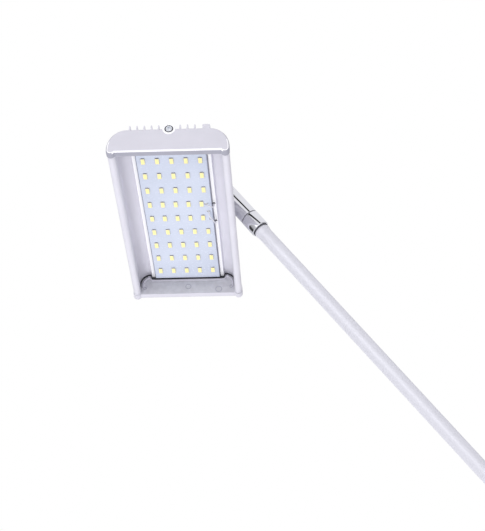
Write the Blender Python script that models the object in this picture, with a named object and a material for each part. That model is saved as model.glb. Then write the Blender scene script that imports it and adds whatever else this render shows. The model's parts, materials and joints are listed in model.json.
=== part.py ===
"""Wall-mounted LED arm lamp with a finned trough head on a swivelling, tilting arm.

Run with: blender --background --python part.py
Metres, +Z up. The origin is the middle of the base plate's mounting face, which looks
along +X. The arm climbs towards -X and carries the head, whose length lies along Y and
whose LEDs shine straight down.
"""
import math

import bmesh
import bpy
from mathutils import Matrix, Vector

MM = 0.001
GAP = 0.3                       # clearance between touching pieces

# --- driving dimensions, millimetres and degrees -------------------------------------
COLUMN_PITCH = 11.4             # between LED columns, across the head
ROW_PITCH = 20.0                # between LED rows, along the head
COLUMNS = 5
ROWS = 9
SHORT_ROWS = (3, 4)             # rows squeezed to leave room for the solder pads
SHORT_PITCH = COLUMN_PITCH * 14 / 15

HEAD_FRONT = -112.7             # outer face of the front cap, along Y
HEAD_REAR = 103.3               # outer face of the rear cap
CAP_THICK = 6.9
CAP_HALF_WIDTH = 47.9
CAP_TOP = 7.8
CAP_BOTTOM = -13.7
CAP_EDGE_ROUND = 1.2
FOOT_RADIUS = 3.5
FOOT_Z = -12.0                  # middle of the caps' round feet
SHOULDER_X = 32.0               # where the flat top turns into the round shoulder
SHOULDER_Z = -10.5              # where the shoulder meets the straight side
WALL_INSET = 0.4                # how far the housing sits inside the caps
GASKET_THICK = 0.8

RAIL_RADIUS = 3.1
RAIL_Z = -11.2                  # middle of the round rails
RAIL_LEDGE = 4.2                # from there up to the reflector's lower edge
RAIL_NECK = 3.0                 # from there up to the top of the rail's inner side
REFLECTOR_RADIUS = 9.6
REFLECTOR_X = 32.5
REFLECTOR_Z = -3.5
PLATFORM_HALF = 31.5
PLATFORM_Z = 3.3
FIN_PITCH = 5.7
FIN_TOP = 17.2
FIN_ROOT = 0.85                 # half the fin's thickness at its root
FIN_TIP = 0.55
LEFT_FINS = [-8.3 - FIN_PITCH * i for i in range(5)]
RIGHT_FINS = [8.6 + FIN_PITCH * i for i in range(3)]
RIB_WIDTH = 6.0                 # the solid rib that the pivot bracket is screwed to
PORT_X = 0.6                    # screw port between the fins, for the cap screws
PORT_Z = 7.2
PORT_RADIUS = 4.3
BOSS_RADIUS = 5.3               # round boss of the cap over the port
SEAT_RADIUS = 3.4               # sunk seat of the cap screw's head
SEAT_DEPTH = 1.2

BOARD_HALF_WIDTH = 28.4
BOARD_FACE = 0.8
BOARD_THICK = 1.4
BOARD_END_GAP = 1.6
LED_SIZE = (3.1, 7.0)
PAD_THICK = 0.5
WIRE_RADIUS = 0.5
PLUS_HOLE = (30.0, -16.0)
MINUS_HOLE = (30.2, 10.0)
WIRE_HOLE_RADIUS = 0.95

SCREW_HOLE = 1.75               # M3 pan-head screws and their holes
SCREW_SHANK = 1.4
SCREW_HEAD_RADIUS = 2.9
SCREW_HEAD_HEIGHT = 2.2

ARM_SPAN = 405.0                # between the head pivot and the base pivot
ARM_ELEVATION = 53.2            # of the arm above level, at rest
TUBE_RADIUS = 6.0
TUBE_BORE = 5.0
BEAD_RADIUS = 6.6
UPPER_RADIUS = 7.7              # upper half of the knuckle
LOWER_RADIUS = 7.85             # lower half of the knuckle and the arm foot
SOCKET_RADIUS = TUBE_RADIUS + GAP
SPIGOT_RADIUS = 4.2
WIREWAY_RADIUS = 2.6
CABLE_RADIUS = 2.2
SEAM = 37.8                     # swivel seam, measured along the arm from the head pivot
SOCKET_END = 52.9
TUBE_START = 45.5
TUBE_END = ARM_SPAN - 33.0
FOOT_SOCKET_END = 44.0
TONGUE_HALF = 6.5
TONGUE_LENGTH = 12.0

PIVOT_IN_HEAD = (35.9, 29.3)    # X and Z from the middle of the LED field
PIVOT_BOLT_RADIUS = 2.5
PIVOT_WASHER = 1.0
EAR_THICK = 3.0
EAR_RADIUS = 7.5
EAR_INNER = TONGUE_HALF + GAP + PIVOT_WASHER + GAP
EAR_OUTER = EAR_INNER + EAR_THICK
BRACKET_Z = FIN_TOP + GAP
BRACKET_THICK = 3.0
BRACKET_LEFT = 9.0
BRACKET_RIGHT = 31.9
BRACKET_HALF = 24.0
BRACKET_SCREW_Y = 17.5

PLATE_RADIUS = 38.0
PLATE_THICK = 5.0
PLATE_HOLE_RADIUS = 2.3
PLATE_HOLE_CIRCLE = 33.0
BASE_RADIUS = 28.0
BASE_FRONT = -26.0
BASE_WALL = 2.5
COVER_RING = 7.0                # height of the plate's ring inside the housing
COVER_SCREW_X = -PLATE_THICK - 3.7
STUD_RADIUS = 6.0
YOKE_BACK = BASE_FRONT - GAP - PIVOT_WASHER - GAP
YOKE_WEB = 4.4
YOKE_RADIUS = 14.0
BASE_PIVOT_X = -46.0
GLAND_X = -15.0
GLAND_BORE = 3.3

ROUND = 36                      # sides of the large round pieces
SMALL = 16                      # sides of screws, nuts and washers

# --- places worked out from them ------------------------------------------------------
ARM_ANGLE = math.radians(90 + ARM_ELEVATION)
ARM_DIR = Vector((math.sin(ARM_ANGLE), 0, math.cos(ARM_ANGLE)))
BASE_PIVOT = Vector((BASE_PIVOT_X, 0, 0))
HEAD_PIVOT = BASE_PIVOT - ARM_DIR * ARM_SPAN
HEAD_ORIGIN = HEAD_PIVOT - Vector((PIVOT_IN_HEAD[0], 0, PIVOT_IN_HEAD[1]))
ALONG_ARM = (0, ARM_ANGLE, 0)
ALONG_Y = (math.radians(90), 0, 0)
ALONG_X = (0, math.radians(90), 0)
FRONT_INNER = HEAD_FRONT + CAP_THICK
REAR_INNER = HEAD_REAR - CAP_THICK
HOUSING_FRONT = FRONT_INNER + GASKET_THICK + 2 * GAP
HOUSING_REAR = REAR_INNER - GASKET_THICK - 2 * GAP

BODIES = {}
MATERIALS = {}


# --- helpers --------------------------------------------------------------------------
def clear_scene():
    for obj in list(bpy.data.objects):
        bpy.data.objects.remove(obj, do_unlink=True)


def material(name, colour, roughness, metallic):
    mat = bpy.data.materials.new(name)
    mat.use_nodes = True
    shader = mat.node_tree.nodes["Principled BSDF"]
    shader.inputs["Base Color"].default_value = (*colour, 1)
    shader.inputs["Roughness"].default_value = roughness
    shader.inputs["Metallic"].default_value = metallic
    MATERIALS[name] = mat


def hang(obj, parent, place):
    """Parent an object to a body's empty and put it at a place in the lamp's frame."""
    if parent:
        obj.parent = BODIES[parent]
        obj.matrix_parent_inverse = Matrix.Translation(-Vector(BODIES[parent]["place"]))
    obj.location = place * MM


def body(name, place, parent=None):
    """An empty on the joint axis of one moving body."""
    empty = bpy.data.objects.new(name + "_axis", None)
    empty.empty_display_size = 0.02
    bpy.context.collection.objects.link(empty)
    empty["place"] = place * MM
    hang(empty, parent, place)
    BODIES[name] = empty


def mesh_object(name, bm):
    bmesh.ops.scale(bm, vec=(MM, MM, MM), verts=bm.verts)
    bmesh.ops.recalc_face_normals(bm, faces=bm.faces)
    mesh = bpy.data.meshes.new(name)
    bm.to_mesh(mesh)
    bm.free()
    obj = bpy.data.objects.new(name, mesh)
    bpy.context.collection.objects.link(obj)
    return obj


def finish(obj, parent, place, mat, rotation=(0, 0, 0)):
    """Give an object its body, place and material, with round faces shaded smooth."""
    hang(obj, parent, place)
    obj.rotation_euler = rotation
    own = MATERIALS[mat].copy()
    own.name = obj.name + "_" + mat
    obj.data.materials.append(own)
    obj.data.shade_smooth()
    obj.data.set_sharp_from_angle(angle=math.radians(30))
    return obj


def turned(name, profile, sides, hollow=False):
    """A body of revolution about Z from (radius, height) points; a hollow one is a ring."""
    bm = bmesh.new()
    rings = []
    for radius, height in profile:
        if radius == 0:
            rings.append([bm.verts.new((0, 0, height))])
            continue
        angles = [2 * math.pi * i / sides for i in range(sides)]
        rings.append([bm.verts.new((radius * math.cos(a), radius * math.sin(a), height)) for a in angles])
    pairs = list(zip(rings, rings[1:]))
    if hollow:
        pairs.append((rings[-1], rings[0]))
    for lower, upper in pairs:
        for i in range(sides):
            j = (i + 1) % sides
            if len(lower) == 1:
                bm.faces.new((lower[0], upper[j], upper[i]))
            elif len(upper) == 1:
                bm.faces.new((lower[i], lower[j], upper[0]))
            else:
                bm.faces.new((lower[i], lower[j], upper[j], upper[i]))
    return mesh_object(name, bm)


def hex_nut(name, bore, corner_radius, thickness):
    """A nut about Z with a round bore, from z = 0 up."""
    sides = 24
    bm = bmesh.new()
    rings = []
    for height, outer in ((0, False), (0, True), (thickness, True), (thickness, False)):
        ring = []
        for i in range(sides):
            angle = 2 * math.pi * i / sides
            flat = math.cos(math.pi / 6) / math.cos(angle % (math.pi / 3) - math.pi / 6)
            radius = corner_radius * flat if outer else bore
            ring.append(bm.verts.new((radius * math.cos(angle), radius * math.sin(angle), height)))
        rings.append(ring)
    for lower, upper in zip(rings, rings[1:] + rings[:1]):
        for i in range(sides):
            j = (i + 1) % sides
            bm.faces.new((lower[i], lower[j], upper[j], upper[i]))
    return mesh_object(name, bm)


def extruded(name, outline, start, end, bevel=0, bevel_side=0):
    """An (X, Z) outline carried along Y; one end's rim may be rounded."""
    bm = bmesh.new()
    near = [bm.verts.new((x, start, z)) for x, z in outline]
    face = bm.faces.new(near)
    made = bmesh.ops.extrude_face_region(bm, geom=[face])
    far = [item for item in made["geom"] if isinstance(item, bmesh.types.BMVert)]
    bmesh.ops.translate(bm, verts=far, vec=(0, end - start, 0))
    if bevel:
        rim_y = start if bevel_side < 0 else end
        rim = [e for e in bm.edges if all(abs(v.co.y - rim_y) < 1e-6 for v in e.verts)]
        bmesh.ops.bevel(bm, geom=rim, offset=bevel, segments=2, profile=0.5, affect="EDGES")
    return mesh_object(name, bm)


def box(name, low, high):
    bm = bmesh.new()
    bmesh.ops.create_cube(bm, size=1)
    for vert in bm.verts:
        vert.co = Vector([low[i] + (vert.co[i] + 0.5) * (high[i] - low[i]) for i in range(3)])
    return mesh_object(name, bm)


def arc(centre, radii, start, end, steps):
    """Points on an ellipse from one angle to another, in degrees."""
    points = []
    for i in range(steps + 1):
        angle = math.radians(start + (end - start) * i / steps)
        points.append((centre[0] + radii[0] * math.cos(angle), centre[1] + radii[1] * math.sin(angle)))
    return points


def mirrored(points):
    return [(-x, z) for x, z in reversed(points)]


def cutter(obj, parent, place, rotation=(0, 0, 0)):
    hang(obj, parent, place)
    obj.rotation_euler = rotation
    obj.hide_render = True
    obj.display_type = "WIRE"
    return obj


def combine(target, tool, operation):
    modifier = target.modifiers.new(tool.name, "BOOLEAN")
    modifier.operation = operation
    modifier.solver = "EXACT"
    modifier.object = tool


def drill(target, name, parent, place, radius, depth, rotation=(0, 0, 0), sides=SMALL):
    """Cut a round hole that starts at a place and runs along the rotated Z axis."""
    rod = turned(name, [(0, 0), (radius, 0), (radius, depth), (0, depth)], sides)
    combine(target, cutter(rod, parent, place, rotation), "DIFFERENCE")


def in_head(x, y, z):
    return HEAD_ORIGIN + Vector((x, y, z))


def on_arm(distance):
    """A point on the arm's axis, at a distance from the head pivot."""
    return HEAD_PIVOT + ARM_DIR * distance


# --- head -----------------------------------------------------------------------------
def cap_outline():
    """The D of an end cap: two round feet, straight lower edge, round shoulders, screw boss."""
    foot_x = CAP_HALF_WIDTH - FOOT_RADIUS
    inner = math.degrees(math.asin((CAP_BOTTOM - FOOT_Z) / FOOT_RADIUS))
    right = arc((foot_x, FOOT_Z), (FOOT_RADIUS, FOOT_RADIUS), 180 - inner, 360, 8)
    shoulder = (CAP_HALF_WIDTH - SHOULDER_X, CAP_TOP - SHOULDER_Z)
    right += arc((SHOULDER_X, SHOULDER_Z), shoulder, 0, 90, 9)
    lift = math.degrees(math.asin((CAP_TOP - PORT_Z) / BOSS_RADIUS))
    boss = arc((PORT_X, PORT_Z), (BOSS_RADIUS, BOSS_RADIUS), lift, 180 - lift, 8)
    return right + boss + mirrored(right)


def inner_outline():
    """The trough seen from below: platform, step, concave reflector and round rail."""
    points = [(PLATFORM_HALF, PLATFORM_Z)]
    points += arc((REFLECTOR_X, REFLECTOR_Z), (REFLECTOR_RADIUS, REFLECTOR_RADIUS), 90, 0, 7)
    rail_x = CAP_HALF_WIDTH - WALL_INSET - RAIL_RADIUS
    points.append((REFLECTOR_X + REFLECTOR_RADIUS, RAIL_Z + RAIL_LEDGE))
    points.append((rail_x - RAIL_RADIUS, RAIL_Z + RAIL_NECK))
    points += arc((rail_x, RAIL_Z), (RAIL_RADIUS, RAIL_RADIUS), 180, 360, 8)
    return points


def shoulder_outline():
    radii = (CAP_HALF_WIDTH - WALL_INSET - SHOULDER_X, CAP_TOP - WALL_INSET - SHOULDER_Z)
    return arc((SHOULDER_X, SHOULDER_Z), radii, 0, 90, 9)


def fin(centre):
    """A tapered fin's outline, from its right root to its left root."""
    root = CAP_TOP - WALL_INSET
    return [
        (centre + FIN_ROOT, root),
        (centre + FIN_TIP, FIN_TOP),
        (centre - FIN_TIP, FIN_TOP),
        (centre - FIN_ROOT, root),
    ]


def port_outline():
    root = CAP_TOP - WALL_INSET
    lift = math.degrees(math.asin((root - PORT_Z) / PORT_RADIUS))
    return arc((PORT_X, PORT_Z), (PORT_RADIUS, PORT_RADIUS), lift, 180 - lift, 8)


def housing_outline():
    side = inner_outline() + shoulder_outline()
    root = CAP_TOP - WALL_INSET
    rib = [
        (SHOULDER_X - 0.01, FIN_TOP),
        (SHOULDER_X - RIB_WIDTH, FIN_TOP),
        (SHOULDER_X - RIB_WIDTH, root),
    ]
    outline = side + rib
    for centre in reversed(RIGHT_FINS):
        outline += fin(centre)
    outline += port_outline()
    for centre in LEFT_FINS:
        outline += fin(centre)
    return outline + mirrored(side)


def make_housing():
    obj = extruded("heat_sink_housing", housing_outline(), HOUSING_FRONT, HOUSING_REAR)
    finish(obj, "head", HEAD_ORIGIN, "painted_aluminium")
    ends = (("front", HOUSING_FRONT - 1, -90), ("rear", HOUSING_REAR + 1, 90))
    for end, start, turn in ends:
        place = in_head(PORT_X, start, PORT_Z)
        drill(obj, "port_drill_" + end, "head", place, SCREW_HOLE, 12, (math.radians(turn), 0, 0))
    for i, y in enumerate((-BRACKET_SCREW_Y, BRACKET_SCREW_Y)):
        place = in_head(SHOULDER_X - RIB_WIDTH / 2, y, FIN_TOP - 8)
        drill(obj, "rib_drill_%d" % (i + 1), "head", place, SCREW_HOLE, 10)
    for label, (x, y) in (("plus", PLUS_HOLE), ("minus", MINUS_HOLE)):
        place = in_head(x, y, PLATFORM_Z - 1)
        drill(obj, "wire_drill_" + label, "head", place, WIRE_HOLE_RADIUS, 20, sides=12)


def make_caps():
    ends = (("front", HEAD_FRONT, FRONT_INNER, -1), ("rear", REAR_INNER, HEAD_REAR, 1))
    for end, low, high, side in ends:
        obj = extruded("end_cap_" + end, cap_outline(), low, high, CAP_EDGE_ROUND, side)
        finish(obj, "head", HEAD_ORIGIN, "painted_aluminium")
        turn = (math.radians(90 * side), 0, 0)
        outer = low if side < 0 else high
        start = in_head(PORT_X, outer + side, PORT_Z)
        drill(obj, "cap_drill_" + end, "head", start, SCREW_HOLE, CAP_THICK + 2, turn)
        drill(obj, "cap_seat_" + end, "head", start, SEAT_RADIUS, SEAT_DEPTH + 1, turn, sides=24)


def make_gaskets():
    """Thin seals between the housing's ends and the caps, without the fins."""
    side = inner_outline() + shoulder_outline()
    outline = side + port_outline() + mirrored(side)
    for end, start in (("front", FRONT_INNER + GAP), ("rear", REAR_INNER - GAP - GASKET_THICK)):
        obj = extruded("cap_gasket_" + end, outline, start, start + GASKET_THICK)
        finish(obj, "head", HEAD_ORIGIN, "black_rubber")
        place = in_head(PORT_X, start - 1, PORT_Z)
        drill(obj, "gasket_drill_" + end, "head", place, SCREW_HOLE, GASKET_THICK + 2, (-ALONG_Y[0], 0, 0))


def pan_head_screw(name, length):
    """A screw whose domed head sits on z = 0 and whose shank runs up +Z."""
    profile = [
        (0, -SCREW_HEAD_HEIGHT),
        (SCREW_HEAD_RADIUS * 0.6, -SCREW_HEAD_HEIGHT),
        (SCREW_HEAD_RADIUS * 0.92, -SCREW_HEAD_HEIGHT * 0.6),
        (SCREW_HEAD_RADIUS, -SCREW_HEAD_HEIGHT * 0.2),
        (SCREW_HEAD_RADIUS, 0),
        (SCREW_SHANK, 0),
        (SCREW_SHANK, length),
        (0, length),
    ]
    return turned(name, profile, SMALL)


def make_cap_screws():
    for end, outer, side in (("front", HEAD_FRONT, -1), ("rear", HEAD_REAR, 1)):
        obj = pan_head_screw("cap_screw_" + end, 14)
        place = in_head(PORT_X, outer - side * (SEAT_DEPTH - GAP), PORT_Z)
        finish(obj, "head", place, "steel", (math.radians(90 * side), 0, 0))


def led_places():
    places = []
    for row in range(ROWS):
        pitch = SHORT_PITCH if row in SHORT_ROWS else COLUMN_PITCH
        for column in range(COLUMNS):
            x = -COLUMN_PITCH * (COLUMNS - 1) / 2 + pitch * column
            places.append((x, ROW_PITCH * (row - (ROWS - 1) / 2)))
    return places


def make_board():
    low = (-BOARD_HALF_WIDTH, HOUSING_FRONT + BOARD_END_GAP, BOARD_FACE)
    high = (BOARD_HALF_WIDTH, HOUSING_REAR - BOARD_END_GAP, BOARD_FACE + BOARD_THICK)
    board = box("led_board", low, high)
    finish(board, "head", HEAD_ORIGIN, "board_white")
    bm = bmesh.new()
    for x, y in led_places():
        scale = Matrix.Diagonal((LED_SIZE[0], LED_SIZE[1], BOARD_FACE + 0.5, 1))
        centre = Matrix.Translation((x, y, (BOARD_FACE + 0.5) / 2))
        bmesh.ops.create_cube(bm, size=1, matrix=centre @ scale)
    leds = cutter(mesh_object("led_packages", bm), "head", HEAD_ORIGIN)
    combine(board, leds, "UNION")
    low = (-BOARD_HALF_WIDTH, low[1], high[2] + GAP)
    high = (BOARD_HALF_WIDTH, high[1], high[2] + GAP + PAD_THICK)
    finish(box("thermal_pad", low, high), "head", HEAD_ORIGIN, "grey_silicone")


def cable(name, route, radius, parent, mat):
    """A round lead along a smooth curve through its route's points."""
    curve = bpy.data.curves.new(name, "CURVE")
    curve.dimensions = "3D"
    curve.bevel_depth = radius * MM
    curve.bevel_resolution = 2
    curve.use_fill_caps = True
    spline = curve.splines.new("POLY")
    points = smooth_route([Vector(p) for p in route], 5)
    spline.points.add(len(points) - 1)
    for target, point in zip(spline.points, points):
        target.co = (*(point * MM), 1)
    obj = bpy.data.objects.new(name, curve)
    bpy.context.collection.objects.link(obj)
    hang(obj, parent, HEAD_ORIGIN)
    own = MATERIALS[mat].copy()
    own.name = name + "_" + mat
    curve.materials.append(own)
    return obj


def smooth_route(route, steps):
    """Catmull-Rom points through a route."""
    padded = [route[0] * 2 - route[1], *route, route[-1] * 2 - route[-2]]
    points = []
    for a, b, c, d in zip(padded, padded[1:], padded[2:], padded[3:]):
        for i in range(steps):
            t = i / steps
            cubic = (3 * b - 3 * c + d - a) * t ** 3
            square = (2 * a - 5 * b + 4 * c - d) * t ** 2
            points.append((cubic + square + (c - a) * t + 2 * b) / 2)
    return points + [route[-1]]


def make_leads():
    plus = [(24.4, -18.6, 0.15), (25.2, -18.9, -0.7), (27.4, -18.0, -1.1), (29.4, -16.7, -0.5)]
    plus += [(PLUS_HOLE[0], PLUS_HOLE[1], 1.6), (PLUS_HOLE[0], PLUS_HOLE[1], 12.0)]
    minus = [(24.6, -9.0, 0.15), (25.0, -6.4, -0.7), (27.2, -3.2, -1.1), (29.6, 2.6, -0.6)]
    minus += [(30.4, 7.6, -0.2), (MINUS_HOLE[0], MINUS_HOLE[1], 1.8), (MINUS_HOLE[0], MINUS_HOLE[1], 12.0)]
    cable("lead_wire_plus", plus, WIRE_RADIUS, "head", "white_wire")
    cable("lead_wire_minus", minus, WIRE_RADIUS, "head", "white_wire")


def make_bracket():
    """A screwed foot with two ears that hold the pivot bolt."""
    foot_top = BRACKET_Z + BRACKET_THICK
    low = (BRACKET_LEFT, -BRACKET_HALF, BRACKET_Z)
    foot = box("pivot_bracket", low, (BRACKET_RIGHT, BRACKET_HALF, foot_top))
    finish(foot, "head", HEAD_ORIGIN, "painted_aluminium")
    pivot_x, pivot_z = PIVOT_IN_HEAD
    ear = [(BRACKET_LEFT + 2, BRACKET_Z + 0.5), (BRACKET_RIGHT - 0.4, BRACKET_Z + 0.5)]
    ear += arc(PIVOT_IN_HEAD, (EAR_RADIUS, EAR_RADIUS), -90, 90, 10)
    ear += [(pivot_x - 12, pivot_z + EAR_RADIUS)]
    for side, start in (("front", -EAR_OUTER), ("rear", EAR_INNER)):
        plate = extruded("bracket_ear_" + side, ear, start, start + EAR_THICK)
        combine(foot, cutter(plate, "head", HEAD_ORIGIN), "UNION")
    place = in_head(pivot_x, EAR_OUTER + 1, pivot_z)
    drill(foot, "bracket_pivot_drill", "head", place, PIVOT_BOLT_RADIUS + GAP, 2 * EAR_OUTER + 2, ALONG_Y)
    for i, y in enumerate((-BRACKET_SCREW_Y, BRACKET_SCREW_Y)):
        place = in_head(SHOULDER_X - RIB_WIDTH / 2, y, BRACKET_Z - 1)
        drill(foot, "bracket_screw_drill_%d" % (i + 1), "head", place, SCREW_HOLE, 6)
        obj = pan_head_screw("bracket_screw_%d" % (i + 1), 9.5)
        place = in_head(SHOULDER_X - RIB_WIDTH / 2, y, foot_top + GAP)
        finish(obj, "head", place, "steel", (math.radians(180), 0, 0))


# --- pivots ---------------------------------------------------------------------------
def make_pivot(prefix, centre, outer_body, inner_body, outer):
    """A bolt along Y with its nut, and a friction washer on each side of the tongue."""
    head = outer + GAP
    profile = [(0, -3.2), (3.2, -3.2), (4.2, -2.2), (4.2, 0), (PIVOT_BOLT_RADIUS, 0)]
    length = 2 * head + 6.5
    profile += [(PIVOT_BOLT_RADIUS, length), (0, length)]
    bolt = turned(prefix + "_pivot_bolt", profile, SMALL)
    finish(bolt, outer_body, centre + Vector((0, head, 0)), "steel", ALONG_Y)
    nut = hex_nut(prefix + "_pivot_nut", PIVOT_BOLT_RADIUS + GAP, 4.6, 4.5)
    finish(nut, outer_body, centre - Vector((0, head, 0)), "steel", ALONG_Y)
    bore = PIVOT_BOLT_RADIUS + GAP
    ring = [(bore, 0), (6.4, 0), (6.4, PIVOT_WASHER), (bore, PIVOT_WASHER)]
    for side, start in (("front", -(TONGUE_HALF + GAP)), ("rear", EAR_INNER - GAP)):
        washer = turned(prefix + "_washer_" + side, ring, SMALL, hollow=True)
        finish(washer, inner_body, centre + Vector((0, start, 0)), "black_nylon", ALONG_Y)


def shape_tongue(target, name, parent, centre, rotation):
    """Give a round bar's pivot end its round nose, two flats and the bolt hole."""
    nose = arc((0, 0), (UPPER_RADIUS - 0.1, UPPER_RADIUS - 0.1), 180, 360, 14)
    outline = nose + [(9.5, 2), (9.5, 60), (-9.5, 60), (-9.5, 2)]
    envelope = extruded(name + "_envelope", outline, -10, 10)
    combine(target, cutter(envelope, parent, centre, rotation), "INTERSECT")
    for side, low, high in (("front", -10, -TONGUE_HALF), ("rear", TONGUE_HALF, 10)):
        flat = box(name + "_flat_" + side, (-10, low, -10), (10, high, TONGUE_LENGTH))
        combine(target, cutter(flat, parent, centre, rotation), "DIFFERENCE")
    start = centre + Vector((0, 10, 0))
    drill(target, name + "_bolt_drill", parent, start, PIVOT_BOLT_RADIUS + GAP, 20, ALONG_Y)


# --- knuckle and arm ------------------------------------------------------------------
def make_knuckle():
    end = SEAM - 0.6
    profile = [
        (0, -UPPER_RADIUS),
        (UPPER_RADIUS, -UPPER_RADIUS),
        (UPPER_RADIUS, end - 0.4),
        (UPPER_RADIUS - 0.4, end),
        (SPIGOT_RADIUS, end),
        (SPIGOT_RADIUS, SEAM + 7.2),
        (WIREWAY_RADIUS, SEAM + 7.2),
        (WIREWAY_RADIUS, 14),
        (0, 14),
    ]
    upper = turned("knuckle_upper", profile, ROUND)
    finish(upper, "knuckle", HEAD_PIVOT, "chrome", ALONG_ARM)
    shape_tongue(upper, "knuckle", "knuckle", HEAD_PIVOT, ALONG_ARM)
    ring = [(4.5, SEAM + 4.7), (5.9, SEAM + 4.7), (5.9, SEAM + 6.5), (4.5, SEAM + 6.5)]
    finish(turned("swivel_retainer", ring, SMALL, hollow=True), "knuckle", HEAD_PIVOT, "steel", ALONG_ARM)

    ring = [(4.6, SEAM - 0.3), (7.2, SEAM - 0.3), (7.2, SEAM + 0.3), (4.6, SEAM + 0.3)]
    ring = turned("swivel_friction_ring", ring, ROUND, hollow=True)
    finish(ring, "arm", HEAD_PIVOT, "black_nylon", ALONG_ARM)
    start = SEAM + 0.6
    profile = [
        (SPIGOT_RADIUS + 0.4, start),
        (LOWER_RADIUS - 0.4, start),
        (LOWER_RADIUS, start + 0.4),
        (LOWER_RADIUS, SOCKET_END - 0.4),
        (LOWER_RADIUS - 0.4, SOCKET_END),
        (SOCKET_RADIUS, SOCKET_END),
        (SOCKET_RADIUS, SEAM + 4.4),
        (SPIGOT_RADIUS + 0.4, SEAM + 4.4),
    ]
    lower = turned("knuckle_lower", profile, ROUND, hollow=True)
    finish(lower, "arm", HEAD_PIVOT, "chrome", ALONG_ARM)
    make_set_screw("tube_set_screw_upper", lower, on_arm(49.0))


def make_set_screw(name, target, axis_point):
    """A grub screw through a socket's rear wall, pressing on the tube."""
    start = axis_point + Vector((0, LOWER_RADIUS + 1, 0))
    drill(target, name + "_drill", "arm", start, 1.8, LOWER_RADIUS + 1 - TUBE_RADIUS - 0.1, ALONG_Y, 12)
    length = LOWER_RADIUS + 0.3 - TUBE_RADIUS - GAP
    screw = turned(name, [(0, 0), (1.45, 0), (1.45, length), (0, length)], 12)
    finish(screw, "arm", axis_point + Vector((0, LOWER_RADIUS + 0.3, 0)), "steel", ALONG_Y)


def make_arm():
    bead = SOCKET_END + 1.5
    profile = [
        (TUBE_RADIUS, TUBE_START),
        (TUBE_RADIUS, bead),
        (BEAD_RADIUS - 0.1, bead + 0.1),
        (BEAD_RADIUS, bead + 0.8),
        (BEAD_RADIUS - 0.12, bead + 2.2),
        (TUBE_RADIUS + 0.18, bead + 4.0),
        (TUBE_RADIUS, bead + 5.6),
        (TUBE_RADIUS, TUBE_END),
        (TUBE_BORE, TUBE_END),
        (TUBE_BORE, TUBE_START),
    ]
    finish(turned("arm_tube", profile, ROUND, hollow=True), "arm", HEAD_PIVOT, "satin_aluminium", ALONG_ARM)
    low = SOCKET_END + GAP
    ring = [(SOCKET_RADIUS, low), (7.1, low), (7.1, low + 0.9), (SOCKET_RADIUS, low + 0.9)]
    finish(turned("tube_seal_ring", ring, ROUND, hollow=True), "arm", HEAD_PIVOT, "black_rubber", ALONG_ARM)
    rod = [(0, 20), (CABLE_RADIUS, 20), (CABLE_RADIUS, ARM_SPAN - 16), (0, ARM_SPAN - 16)]
    finish(turned("power_cable", rod, 12), "arm", HEAD_PIVOT, "black_rubber", ALONG_ARM)

    back = (0, ARM_ANGLE - math.pi, 0)
    socket_floor = ARM_SPAN - TUBE_END - 1
    profile = [
        (0, -LOWER_RADIUS),
        (LOWER_RADIUS, -LOWER_RADIUS),
        (LOWER_RADIUS, FOOT_SOCKET_END - 0.6),
        (LOWER_RADIUS - 0.6, FOOT_SOCKET_END),
        (SOCKET_RADIUS, FOOT_SOCKET_END),
        (SOCKET_RADIUS, socket_floor),
        (WIREWAY_RADIUS, socket_floor),
        (WIREWAY_RADIUS, 14),
        (0, 14),
    ]
    foot = turned("arm_foot", profile, ROUND)
    finish(foot, "arm", BASE_PIVOT, "chrome", back)
    shape_tongue(foot, "foot", "arm", BASE_PIVOT, back)
    make_set_screw("tube_set_screw_lower", foot, on_arm(ARM_SPAN - 39.0))


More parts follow.
